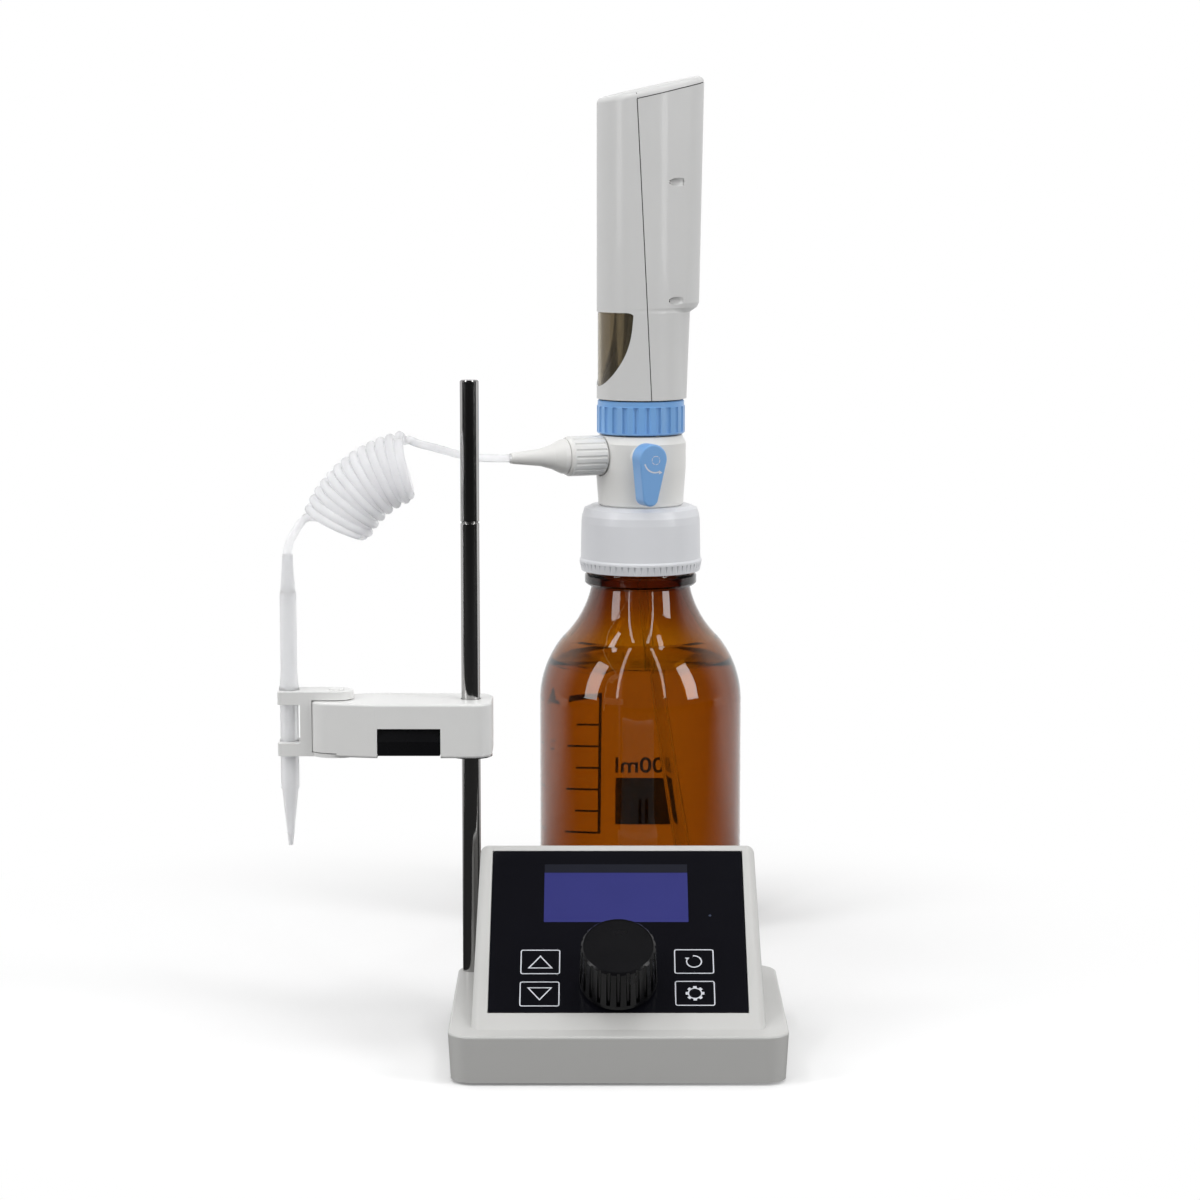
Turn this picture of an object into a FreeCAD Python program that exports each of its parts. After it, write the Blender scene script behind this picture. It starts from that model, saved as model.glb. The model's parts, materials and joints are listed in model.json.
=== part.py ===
import FreeCAD, Part
import math
import os

# Electronic bottle-top burette: a motor-driven dosing head on a screw-cap reagent bottle,
# a control unit with a display and a knob, and a rod with an arm that holds the outlet tip.
# Millimetres. Layout: x to the right, y to the back from the control unit's front, z up from
# the bench. The finished pieces are moved so that the origin is under the middle of the part.

V = FreeCAD.Vector
X_AXIS = V(1, 0, 0)
Y_AXIS = V(0, 1, 0)
Z_AXIS = V(0, 0, 1)

# General clearances
RUN_FIT = 0.05
PART_GAP = 0.15
SOFT_GAP = 0.3

# Base tray: its walls come in a little to the bottom
BASE_W = 120.6
BASE_D = 104.0
BASE_CORNER_R = 9.0
BASE_TOP_Z = 18.0
BASE_EDGE_R = 0.9
BASE_TAPER = 1.0
BASE_WALL = 2.6
FOOT_H = 1.0
FOOT_R = 6.0
FOOT_EDGE_R = 0.4
FOOT_INSET = 15.0
COVER_T = 1.6
COVER_LIP = 1.2
COVER_POST_R = 3.8
COVER_SCREW_R = 1.5
COVER_SCREW_HEAD_R = 2.8
COVER_SCREW_HEAD_T = 1.0
COVER_SCREW_LEN = 7.0
BALLAST_T = 5.0
BALLAST_SIDE = 14.0
BALLAST_END = 22.0

# Console on the tray
CONSOLE_Y = 9.5
CONSOLE_W = 104.6
CONSOLE_SLOPE_DEG = 35.2
CONSOLE_SLOPE_LEN = 88.0
CONSOLE_CREST = 4.0
CONSOLE_BACK_LEAN = 3.0
CONSOLE_DRAFT_DEG = 1.4
CONSOLE_WALL = 2.4
CONSOLE_EDGE_R = 3.0
PANEL_W = 92.6
PANEL_L = 77.8
PANEL_T = 1.8
PANEL_FROM_FOOT = 7.8
PANEL_GAP = 0.2
PANEL_LEDGE = 3.0

# Pieces under the panel, measured up the slope from the panel's lower edge
DISPLAY_W = 53.0
DISPLAY_L = 29.0
DISPLAY_T = 6.0
DISPLAY_UP = 43.0
BOARD_W = 82.0
BOARD_L = 62.0
BOARD_T = 1.6
BOARD_DEPTH = 8.2
ENCODER_SIDE = 13.0
ENCODER_T = 6.4
ENCODER_SHAFT_R = 3.0
KNOB_UP = 13.8
PLUNGER_COLLAR_R = 4.4
PLUNGER_COLLAR_T = 1.2
PLUNGER_TRAVEL = 0.6
KNOB_TOP_R = 13.3
KNOB_FOOT_R = 14.0
KNOB_H = 19.0
KNOB_SKIRT_H = 2.2
KNOB_CHAMFER = 0.8
KNOB_FLOAT = 1.1
KNOB_CORE_R = 5.2
KNOB_WALL = 1.8
KNOB_ROOF = 4.4
KNOB_FLUTES = 24
KNOB_FLUTE_R = 0.8
KNOB_CAP_R = 12.2
KNOB_CAP_T = 0.8
SHAFT_BELOW_TOP = 3.8
LED_R = 0.6
LED_X = 33.7
LED_UP = 46.0
LED_LEAD = 1.4
INLET_W = 9.0
INLET_H = 11.0
INLET_DEPTH = 9.0
INLET_UP = 4.0
INLET_X = 28.0
LINK_X = 8.0
INLET_BORE_R = 3.1
INLET_PIN_R = 0.9

# Support rod
ROD_X = -55.0
ROD_Y = 95.2
ROD_R = 3.5
ROD_TOP_Z = 242.0
ROD_JOINT_Z = 189.0
ROD_CHAMFER = 0.5
ROD_FOOT_Z = 7.0
ROD_STUD_R = 2.0
ROD_STUD_LEN = 9.0
ROD_BOSS_R = 7.0
ROD_SCREW_R = 1.6
ROD_SCREW_IN = 8.0
ROD_SCREW_HEAD_R = 3.0
ROD_SCREW_HEAD_T = 1.8

# Titration arm on the rod
ARM_BOTTOM_Z = 102.0
ARM_H = 20.4
ARM_RIGHT = 8.2
ARM_HALF_D = 13.75
ARM_CORNER_R = 7.0
ARM_EDGE_R = 1.0
ARM_STEP = 1.4
PIVOT_LEFT = 50.5
ARM_END_R = 10.6
BUSH_R = 6.2
BUSH_ROOF = 1.4
BUSH_FLANGE_R = 8.0
BUSH_FLANGE_T = 1.2
BUSH_FLANGE_GAP = 0.1
BUTTON_W = 23.1
BUTTON_H = 10.9
BUTTON_LOW = 1.0
BUTTON_FOLD_UP = 6.3
BUTTON_LEFT = 34.2
BUTTON_DEPTH = 7.0
BUTTON_GAP = 0.25
BUTTON_TRAVEL = 2.0
BUTTON_FOLD = 1.6
SPRING_R = 2.2
SPRING_WALL = 0.5
SPRING_LEN = 3.6

# Tip holder
YOKE_GAP = 0.35
YOKE_WEB = 2.2
YOKE_PLATE = 3.0
YOKE_LOW_PLATE = 1.5
YOKE_CHEEK = 4.8
YOKE_HALF_D = 6.5
YOKE_NOSE = 4.0
YOKE_CORNER_R = 1.8
YOKE_SLOT = 5.4
PIN_R = 2.0
PIN_HEAD_R = 2.9
PIN_HEAD_T = 0.6
TIP_LEFT = 68.2
TIP_BODY_R = 3.4
TIP_BORE_R = 1.7
TIP_BODY_BOTTOM_Z = 88.4
TIP_END_Z = 66.5
TIP_END_R = 0.8
TIP_STEP = 0.35
SLEEVE_R = 3.05
SLEEVE_TOP_Z = 162.7
BOOT_TOP_Z = 177.0

# Outlet tube
TUBE_R = 1.6
COIL_R = 13.5
COIL_ARC_R = 37.3
COIL_X = -70.8
COIL_Y = 99.5
COIL_Z = 173.3
COIL_FROM_DEG = 102.5
COIL_SPAN_DEG = 57.0

# Bottle
BOTTLE_X = 10.8
BOTTLE_Y = 263.0
BOTTLE_R = 43.0
BOTTLE_BASE_R = 7.0
BOTTLE_H = 176.0
GLASS_WALL = 2.6
PUNT_H = 3.0
PUNT_R = 30.0
PUNT_SLOPE = 8.0
FINISH_R = 20.4
FINISH_H = 26.6
BOTTLE_BORE_R = 16.6
COLLAR_R = 23.8
COLLAR_H = 4.8
NECK_R = 21.0
NECK_BELOW_COLLAR = 1.0
SHOULDER_H = 47.6
COLLAR_TOP_Z = BOTTLE_H - FINISH_H
COLLAR_LOW_Z = COLLAR_TOP_Z - COLLAR_H
NECK_LOW_Z = COLLAR_LOW_Z - NECK_BELOW_COLLAR
BOTTLE_BODY_Z = NECK_LOW_Z - SHOULDER_H

# Screw cap and seal
SEAL_T = 0.75
CAP_H = 27.8
CAP_TOP_WALL = 1.5
CAP_R = 25.2
CAP_FLANGE_R = 26.0
CAP_FLANGE_H = 4.6
CAP_SHOULDER_R = 4.2
CAP_INNER_R = 21.0
CAP_HOLE_R = 15.0
CAP_RIBS = 60
CAP_RIB_R = 0.45
CAP_TOP_Z = BOTTLE_H + SEAL_T + PART_GAP + CAP_TOP_WALL
CAP_LOW_Z = CAP_TOP_Z - CAP_H

# Valve block, turned so that its nozzle points to the left and a little to the front
BLOCK_TURN_DEG = 23.0
BLOCK_H = 29.8
BLOCK_R = 19.1
BLOCK_FOOT_R = 18.0
BLOCK_EDGE_R = 1.2
BLOCK_TAPER_DROP = 14.0
INSERT_LEN = 12.4
INSERT_GAP = 1.2
CHANNEL_R = 2.0
NOZZLE_DROP = 8.2
SPIGOT_R = 5.4
SPIGOT_LEN = 12.0
SPIGOT_ROOT = 4.0
NUT_R = 8.4
NUT_LEN = 16.8
NUT_START = 17.8
NUT_SEAT_GAP = 0.5
NUT_RIBS = 18
NUT_RIB_R = 0.7
NUT_LIP = 2.0
CONE_NECK_R = 4.8
CONE_BIG_R = 7.4
CONE_TIP_R = 2.1
CONE_END = 59.4
LEVER_OFFSET = 6.3
LEVER_ROOT = 19.6
LEVER_FACE = 27.8
LEVER_TOP_R = 6.2
LEVER_TIP_R = 3.4
LEVER_REACH = 16.4
LEVER_EDGE_R = 0.8
LEVER_REST_DEG = 4.0
LEVER_HUB_R = 5.2
PLUG_R = 3.7
PLUG_PAST = 1.5
BALL_R = 2.2
BALL_LIFT = 0.8
SEAT_R = 4.2
SEAT_H = 3.0
SEAT_UP = 6.0
INTAKE_R = 2.4
INTAKE_BORE_R = 1.6
INTAKE_END_Z = 9.0
INTAKE_TO_X = 19.0
INTAKE_TO_Y = 6.0
INTAKE_BEND_DROP = 26.0
RETURN_X = -8.5
RETURN_Y = 3.5
RETURN_R = 1.6
RETURN_BORE_R = 0.9
RETURN_LEN = 12.0
BLOCK_TOP_Z = CAP_TOP_Z + BLOCK_H
NOZZLE_Z = BLOCK_TOP_Z - NOZZLE_DROP
INSERT_LOW_Z = CAP_TOP_Z - INSERT_LEN
INLET_SEAT_Z = INSERT_LOW_Z + SEAT_UP
BALL_ROOM = 2 * BALL_R + BALL_LIFT

# Union ring
RING_R = 18.6
RING_BAND_R = 18.3
RING_H = 14.1
RING_BAND_H = 2.4
RING_RIBS = 24
RING_GROOVE_R = 1.2
RING_INNER_R = 14.6
RING_GAP_LOW = 0.7
RING_GAP_HIGH = 0.6
RING_LOW_Z = BLOCK_TOP_Z + RING_GAP_LOW

# Dosing head, turned a little less than the block; its front faces the nozzle side
HEAD_TURN_DEG = 14.0
HEAD_LOW_Z = RING_LOW_Z + RING_H + RING_GAP_HIGH
HEAD_FRONT_R = 18.7
HEAD_STEP_UP = 38.4
HEAD_FRONT_H = 125.1
HEAD_REAR_H = 135.4
REAR_AT_FOOT = 19.5
REAR_BELOW_STEP = 20.9
REAR_ABOVE_STEP = 24.9
REAR_TOP = 26.9
REAR_R = 14.2
STEP_ROUND = 2.0
HEAD_WALL = 2.2
HEAD_EDGE_R = 2.6
LID_T = 3.2
SEAM_TOP_FORWARD = 6.2
SEAM_GROOVE = 0.4
WINDOW_UP = 36.6
WINDOW_DROP = 31.2
WINDOW_HALF_DEG = 66.0
WINDOW_CORNER_R = 1.4
WINDOW_T = 1.3
PANE_GAP = 0.3
RECESS_X = 11.5
RECESS_BORE_R = 1.4
RECESS_HIGH_UP = 90.7
RECESS_LOW_UP = 41.5
SCOOP_OUT = 0.9
SCOOP_FRONT_X = 7.6
SCOOP_REAR_X = 14.6
SCOOP_FRONT_R = 1.0
SCOOP_REAR_R = 2.6
SCREW_BOSS_R = 2.2
SCREW_BOSS_X = -9.0
SHELL_SCREW_HEAD_X = 7.0
SHELL_SCREW_HEAD_R = 1.25
SHELL_SCREW_HEAD_T = 1.2
SHELL_SCREW_R = 0.8
SHELL_SCREW_END_X = -7.5
HEAD_STEP_Z = HEAD_LOW_Z + HEAD_STEP_UP
HEAD_TOP_FRONT_Z = HEAD_LOW_Z + HEAD_FRONT_H
HEAD_TOP_REAR_Z = HEAD_LOW_Z + HEAD_REAR_H

# Syringe and drive inside the head
CYL_R = 10.6
CYL_BORE_R = 8.4
CYL_SINK = 4.2
CYL_LEN = 64.0
CYL_FLANGE_T = 3.0
PISTON_CLEAR = 8.0
PISTON_H = 7.0
STROKE = 48.0
PISTON_ROD_R = 3.0
PLATE_T = 3.0
PLATE_ABOVE_CYL = 6.0
FRAME_H = 60.0
COLLAR_WALL = 1.2
COLLAR_GRIP = 4.5
CARRIAGE_T = 5.0
CARRIAGE_EAR = 5.2
CARRIAGE_UP = 2.0
CARRIAGE_EDGE = 1.4
SCREW_X = 12.5
SCREW_R = 2.4
GUIDE_R = 2.0
GUIDE_X = 2.0
GUIDE_Y = 9.0
MOTOR_R = 8.4
MOTOR_H = 13.0
COUPLING_R = 4.0
COUPLING_DROP = 2.0
DRIVER_T = 1.4
DRIVER_W = 16.0
DRIVER_Y = 11.0
CYL_LOW_Z = BLOCK_TOP_Z - CYL_SINK
CYL_TOP_Z = CYL_LOW_Z + CYL_LEN
PISTON_REST_Z = CYL_LOW_Z + PISTON_CLEAR
LOW_PLATE_Z = CYL_TOP_Z + PLATE_ABOVE_CYL
HIGH_PLATE_Z = LOW_PLATE_Z + FRAME_H
CARRIAGE_Z = LOW_PLATE_Z + PLATE_T + CARRIAGE_UP

# How far past a face a cutting tool runs, and a size larger than any cross-section
OVER = 1.0
FAR = 60.0

# Origin: under the middle of the box around everything but the outlet tube
LEFT_END = ROD_X - TIP_LEFT - YOKE_NOSE
ORIGIN_X = (LEFT_END + BASE_W / 2) / 2
ORIGIN_Y = (BOTTLE_Y + BOTTLE_R) / 2


# Helpers for plain forms

def cylinder(radius, low, high, x=0.0, y=0.0):
    return Part.makeCylinder(radius, high - low, V(x, y, low))


def ring(outer, inner, low, high, x=0.0, y=0.0):
    return cylinder(outer, low, high, x, y).cut(cylinder(inner, low, high, x, y))


def box(x0, x1, y0, y1, z0, z1):
    return Part.makeBox(x1 - x0, y1 - y0, z1 - z0, V(x0, y0, z0))


def rod_between(start, end, radius):
    return Part.makeCylinder(radius, (end - start).Length, start, end - start)


def wire_face(points):
    return Part.Face(Part.makePolygon(points + [points[0]]))


def revolve_points(points, x=0.0, y=0.0):
    outline = wire_face([V(r, 0, z) for r, z in points])
    solid = outline.revolve(V(0, 0, 0), Z_AXIS, 360)
    solid.translate(V(x, y, 0))
    return solid


def rounded_block(x0, x1, y0, y1, z0, z1, radius):
    block = box(x0, x1, y0, y1, z0, z1)
    upright = [e for e in block.Edges if abs(e.tangentAt(e.FirstParameter).z) > 0.99]
    return block.makeFillet(radius, upright)


def rounded_outline(x0, x1, y0, y1, radius, z):
    # A closed rectangle with round corners, as a wire.
    edges = []
    last = None
    corners = [(x1 - radius, y0 + radius, -90), (x1 - radius, y1 - radius, 0),
               (x0 + radius, y1 - radius, 90), (x0 + radius, y0 + radius, 180)]
    for cx, cy, start in corners:
        turn = [math.radians(start + step) for step in (0, 45, 90)]
        a, b, c = [V(cx + radius * math.cos(t), cy + radius * math.sin(t), z) for t in turn]
        if last:
            edges.append(Part.LineSegment(last, a).toShape())
        else:
            first = a
        edges.append(Part.Arc(a, b, c).toShape())
        last = c
    edges.append(Part.LineSegment(last, first).toShape())
    return Part.Wire(edges)


def edges_at_height(shape, z):
    return [e for e in shape.Edges if abs(e.BoundBox.ZMin - z) < 0.01 and abs(e.BoundBox.ZMax - z) < 0.01]


def turned(shape, degrees, x=BOTTLE_X, y=BOTTLE_Y):
    # Turns a piece built round the z axis and sets it on the bottle's axis.
    copy = shape.copy()
    copy.rotate(V(0, 0, 0), Z_AXIS, degrees)
    copy.translate(V(x, y, 0))
    return copy


def grooves(count, radius, groove_r, low, high):
    step = 2 * math.pi / count
    cuts = []
    for i in range(count):
        cuts.append(cylinder(groove_r, low, high, radius * math.cos(i * step), radius * math.sin(i * step)))
    return Part.makeCompound(cuts)


# Control unit

def plan_block(inset, low, high):
    half = BASE_W / 2 - inset
    return rounded_block(-half, half, inset, BASE_D - inset, low, high, max(BASE_CORNER_R - inset, 1.0))


def plan_outline(inset, z):
    half = BASE_W / 2 - inset
    return rounded_outline(-half, half, inset, BASE_D - inset, BASE_CORNER_R - inset, z)


def foot_places():
    half = BASE_W / 2 - FOOT_INSET
    return [(x, y) for x in (-half, half) for y in (FOOT_INSET, BASE_D - FOOT_INSET)]


def screw_places():
    half = BASE_W / 2 - FOOT_INSET
    return [(x, BASE_D / 2) for x in (-half, half)]


def tray_form():
    return Part.makeLoft([plan_outline(BASE_TAPER, FOOT_H), plan_outline(0, BASE_TOP_Z)], True, True)


def base_tray():
    tray = tray_form()
    tray = tray.makeFillet(BASE_EDGE_R, edges_at_height(tray, BASE_TOP_Z))
    floor = FOOT_H + COVER_T
    roof = BASE_TOP_Z - BASE_WALL
    inside = plan_block(BASE_TAPER + BASE_WALL, floor, roof)
    mouth = plan_block(BASE_TAPER + COVER_LIP, FOOT_H, floor)
    tray = tray.cut(inside).cut(mouth)
    posts = [cylinder(COVER_POST_R, floor, roof, x, y) for x, y in screw_places()]
    posts.append(cylinder(ROD_BOSS_R, floor, roof, ROD_X, ROD_Y).common(tray_form()))
    tray = tray.fuse(posts)
    for x, y in screw_places():
        tray = tray.cut(cylinder(COVER_SCREW_R, FOOT_H, floor + COVER_SCREW_LEN, x, y))
    tray = tray.cut(cylinder(ROD_R + RUN_FIT, ROD_FOOT_Z, BASE_TOP_Z + OVER, ROD_X, ROD_Y))
    tray = tray.cut(cylinder(ROD_SCREW_R + PART_GAP, floor, ROD_FOOT_Z, ROD_X, ROD_Y))
    head_room = cylinder(ROD_SCREW_HEAD_R + PART_GAP, floor, floor + ROD_SCREW_HEAD_T, ROD_X, ROD_Y)
    return tray.cut(head_room).removeSplitter()


def base_cover():
    cover = plan_block(BASE_TAPER + COVER_LIP + PART_GAP, FOOT_H, FOOT_H + COVER_T)
    for x, y in screw_places():
        cover = cover.cut(cylinder(COVER_SCREW_R + PART_GAP, FOOT_H, FOOT_H + COVER_T, x, y))
        cover = cover.cut(cylinder(COVER_SCREW_HEAD_R + PART_GAP, FOOT_H, FOOT_H + COVER_SCREW_HEAD_T, x, y))
    return cover


def base_screws():
    screws = []
    for x, y in screw_places():
        head = cylinder(COVER_SCREW_HEAD_R, FOOT_H, FOOT_H + COVER_SCREW_HEAD_T, x, y)
        shank = cylinder(COVER_SCREW_R, FOOT_H, FOOT_H + COVER_T + COVER_SCREW_LEN, x, y)
        screws.append(head.fuse(shank).removeSplitter())
    return Part.makeCompound(screws)


def base_feet():
    feet = []
    for x, y in foot_places():
        foot = cylinder(FOOT_R, 0, FOOT_H, x, y)
        feet.append(foot.makeFillet(FOOT_EDGE_R, edges_at_height(foot, 0)))
    return Part.makeCompound(feet)


def ballast_plate():
    low = FOOT_H + COVER_T
    half = BASE_W / 2 - BALLAST_SIDE
    plate = box(-half, half, BALLAST_END, BASE_D - BALLAST_END, low, low + BALLAST_T)
    for x, y in screw_places():
        plate = plate.cut(cylinder(COVER_POST_R + PART_GAP, low, low + BALLAST_T, x, y))
    return plate


SLOPE = math.radians(CONSOLE_SLOPE_DEG)
CREST_Y = CONSOLE_Y + CONSOLE_SLOPE_LEN * math.cos(SLOPE)
CREST_Z = BASE_TOP_Z + CONSOLE_SLOPE_LEN * math.sin(SLOPE)
BACK_Y = CREST_Y + CONSOLE_CREST + CONSOLE_BACK_LEAN


def console_block(inset, floor):
    # A wedge with drafted sides; inset moves every wall in by the same thickness.
    rise = math.tan(math.radians(CONSOLE_DRAFT_DEG))
    back_rise = inset / math.cos(SLOPE)
    low_front = V(0, CONSOLE_Y + inset / math.sin(SLOPE) + (floor - BASE_TOP_Z) / math.tan(SLOPE), floor)
    if inset == 0:
        low_front = V(0, CONSOLE_Y, floor)
    top_z = CREST_Z - inset
    crest_y = CONSOLE_Y + (top_z - BASE_TOP_Z + back_rise) / math.tan(SLOPE)
    outline = [low_front, V(0, crest_y, top_z), V(0, CREST_Y + CONSOLE_CREST - inset, top_z),
               V(0, BACK_Y - inset, floor)]

    def side(sign):
        points = []
        for p in outline:
            half = CONSOLE_W / 2 - inset - (p.z - BASE_TOP_Z) * rise
            points.append(V(sign * half, p.y, p.z))
        return points

    left, right = side(-1), side(1)
    faces = [wire_face(left), wire_face(right)]
    for i in range(len(outline)):
        j = (i + 1) % len(outline)
        faces.append(wire_face([left[i], left[j], right[j], right[i]]))
    return Part.makeSolid(Part.makeShell(faces))


def on_slope(shape, x, up, depth=0.0):
    # Sets a piece built flat, its top at z = 0, under the slope: up from the panel's lower
    # edge, and depth below the slope's surface.
    copy = shape.copy()
    copy.translate(V(x, PANEL_FROM_FOOT + up, -depth))
    copy.rotate(V(0, 0, 0), X_AXIS, CONSOLE_SLOPE_DEG)
    copy.translate(V(0, CONSOLE_Y, BASE_TOP_Z))
    return copy


def console_shell():
    outer = console_block(0, BASE_TOP_Z)
    sharp = [e for e in outer.Edges if e.BoundBox.ZMin > BASE_TOP_Z + 1 or e.BoundBox.ZLength > 10]
    shell = outer.makeFillet(CONSOLE_EDGE_R, sharp)
    shell = shell.cut(console_block(CONSOLE_WALL, BASE_TOP_Z))
    seat_w = PANEL_W / 2 + PANEL_GAP
    seat = box(-seat_w, seat_w, -PANEL_GAP, PANEL_L + PANEL_GAP, -PANEL_T, 5)
    opening = box(-PANEL_W / 2 + PANEL_LEDGE, PANEL_W / 2 - PANEL_LEDGE, PANEL_LEDGE,
                  PANEL_L - PANEL_LEDGE, -10, 5)
    shell = shell.cut(on_slope(seat, 0, 0)).cut(on_slope(opening, 0, 0))
    for x in (INLET_X, LINK_X):
        shell = shell.cut(inlet_block(x, PART_GAP))
    return shell


def touch_panel():
    panel = rounded_block(-PANEL_W / 2, PANEL_W / 2, 0, PANEL_L, -PANEL_T, 0, 1.2)
    panel = panel.cut(cylinder(ENCODER_SHAFT_R + 1.0, -PANEL_T, 0, 0, KNOB_UP))
    panel = panel.cut(cylinder(LED_R, -PANEL_T, 0, LED_X, LED_UP))
    return on_slope(panel, 0, 0)


def status_led():
    return on_slope(cylinder(LED_R - RUN_FIT, -PANEL_T - LED_LEAD, -PART_GAP, LED_X, LED_UP), 0, 0)


def display_module():
    half = DISPLAY_W / 2
    body = rounded_block(-half, half, 0, DISPLAY_L, -DISPLAY_T, 0, 1.0)
    return on_slope(body, 0, DISPLAY_UP, PANEL_T)


def control_board():
    low = (PANEL_L - BOARD_L) / 2
    board = box(-BOARD_W / 2, BOARD_W / 2, low, low + BOARD_L, -BOARD_T, 0)
    for x in (-BOARD_W / 2 + 4, BOARD_W / 2 - 4):
        for y in (low + 4, low + BOARD_L - 4):
            board = board.fuse(cylinder(2.2, 0, BOARD_DEPTH - PANEL_T, x, y))
    return on_slope(board, 0, 0, BOARD_DEPTH)


def encoder_body():
    half = ENCODER_SIDE / 2
    top = PANEL_T
    body = box(-half, half, KNOB_UP - half, KNOB_UP + half, -BOARD_DEPTH, -top)
    well = cylinder(PLUNGER_COLLAR_R + RUN_FIT, -top - PLUNGER_COLLAR_T - PLUNGER_TRAVEL - 0.1, -top,
                    0, KNOB_UP)
    bore = cylinder(ENCODER_SHAFT_R + RUN_FIT, -BOARD_DEPTH, -top, 0, KNOB_UP)
    return on_slope(body.cut(well).cut(bore), 0, 0)


def encoder_plunger():
    bottom = -BOARD_DEPTH + PLUNGER_TRAVEL + 0.2
    shaft = cylinder(ENCODER_SHAFT_R, bottom, KNOB_H - SHAFT_BELOW_TOP, 0, KNOB_UP)
    collar = cylinder(PLUNGER_COLLAR_R, -PANEL_T - PLUNGER_COLLAR_T, -PANEL_T, 0, KNOB_UP)
    return on_slope(shaft.fuse(collar).removeSplitter(), 0, 0)


def control_knob():
    low, top = KNOB_FLOAT, KNOB_FLOAT + KNOB_H
    outline = [(0, low), (KNOB_FOOT_R - 0.5, low), (KNOB_FOOT_R, low + 0.5),
               (KNOB_FOOT_R, low + KNOB_SKIRT_H), (KNOB_TOP_R, top - KNOB_CHAMFER),
               (KNOB_TOP_R - KNOB_CHAMFER, top), (0, top)]
    knob = revolve_points(outline)
    hollow = ring(KNOB_TOP_R - KNOB_WALL, KNOB_CORE_R, low, top - KNOB_ROOF)
    bore = cylinder(ENCODER_SHAFT_R + RUN_FIT, low, KNOB_H - SHAFT_BELOW_TOP + RUN_FIT)
    cap_seat = cylinder(KNOB_CAP_R + RUN_FIT, top - KNOB_CAP_T, top)
    flutes = grooves(KNOB_FLUTES, KNOB_TOP_R + KNOB_FLUTE_R * 0.35, KNOB_FLUTE_R, low + KNOB_SKIRT_H, top)
    knob = knob.cut(hollow).cut(bore).cut(cap_seat).cut(flutes)
    knob.translate(V(0, KNOB_UP, 0))
    return on_slope(knob, 0, 0)


def knob_cap():
    top = KNOB_FLOAT + KNOB_H
    return on_slope(cylinder(KNOB_CAP_R, top - KNOB_CAP_T, top - PART_GAP, 0, KNOB_UP), 0, 0)


def inlet_block(x, gap=0.0):
    z0 = BASE_TOP_Z + INLET_UP - gap
    return box(x - INLET_W / 2 - gap, x + INLET_W / 2 + gap, BACK_Y - INLET_DEPTH, BACK_Y + OVER,
               z0, z0 + INLET_H + 2 * gap)


def inlet_socket(x):
    lean = CONSOLE_BACK_LEAN / (CREST_Z - BASE_TOP_Z) * (INLET_UP + INLET_H)
    low = BASE_TOP_Z + INLET_UP
    body = box(x - INLET_W / 2, x + INLET_W / 2, BACK_Y - INLET_DEPTH, BACK_Y - lean, low, low + INLET_H)
    start = V(x, BACK_Y - lean + OVER, low + INLET_H / 2)
    bore = Part.makeCylinder(INLET_BORE_R, INLET_DEPTH - 2, start, V(0, -1, 0))
    pin = Part.makeCylinder(INLET_PIN_R, INLET_DEPTH - 3, start + V(0, -3, 0), V(0, -1, 0))
    return body.cut(bore).fuse(pin.common(body)).removeSplitter()


# Support rod

def rod_screw():
    low = FOOT_H + COVER_T
    head = cylinder(ROD_SCREW_HEAD_R, low, low + ROD_SCREW_HEAD_T, ROD_X, ROD_Y)
    shank = cylinder(ROD_SCREW_R, low, ROD_FOOT_Z + ROD_SCREW_IN, ROD_X, ROD_Y)
    return head.fuse(shank).removeSplitter()


def chamfered_rod(low, high):
    return revolve_points([(0, low), (ROD_R - ROD_CHAMFER, low), (ROD_R, low + ROD_CHAMFER),
                           (ROD_R, high - ROD_CHAMFER), (ROD_R - ROD_CHAMFER, high), (0, high)],
                          ROD_X, ROD_Y)


def rod_lower():
    stud_hole = cylinder(ROD_STUD_R + RUN_FIT, ROD_JOINT_Z - ROD_STUD_LEN - OVER, ROD_JOINT_Z, ROD_X, ROD_Y)
    screw_hole = cylinder(ROD_SCREW_R + RUN_FIT, ROD_FOOT_Z, ROD_FOOT_Z + ROD_SCREW_IN + OVER, ROD_X, ROD_Y)
    return chamfered_rod(ROD_FOOT_Z, ROD_JOINT_Z).cut(stud_hole).cut(screw_hole)


def rod_upper():
    stud = cylinder(ROD_STUD_R, ROD_JOINT_Z - ROD_STUD_LEN, ROD_JOINT_Z, ROD_X, ROD_Y)
    return chamfered_rod(ROD_JOINT_Z, ROD_TOP_Z).fuse(stud).removeSplitter()


# Titration arm

ARM_TOP_Z = ARM_BOTTOM_Z + ARM_H
PIVOT_X = ROD_X - PIVOT_LEFT
TIP_X = ROD_X - TIP_LEFT
ARM_FRONT_Y = ROD_Y - ARM_HALF_D
BUTTON_X = ROD_X - BUTTON_LEFT
BUTTON_TOP_Z = ARM_BOTTOM_Z + BUTTON_H
BUTTON_MID_Z = ARM_BOTTOM_Z + BUTTON_FOLD_UP
LOW_TONGUE_TOP_Z = ARM_BOTTOM_Z + ARM_STEP - YOKE_GAP
LOW_TONGUE_Z = LOW_TONGUE_TOP_Z - YOKE_LOW_PLATE
HIGH_TONGUE_Z = ARM_TOP_Z + YOKE_GAP
HOLDER_TOP_Z = HIGH_TONGUE_Z + YOKE_PLATE


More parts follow.
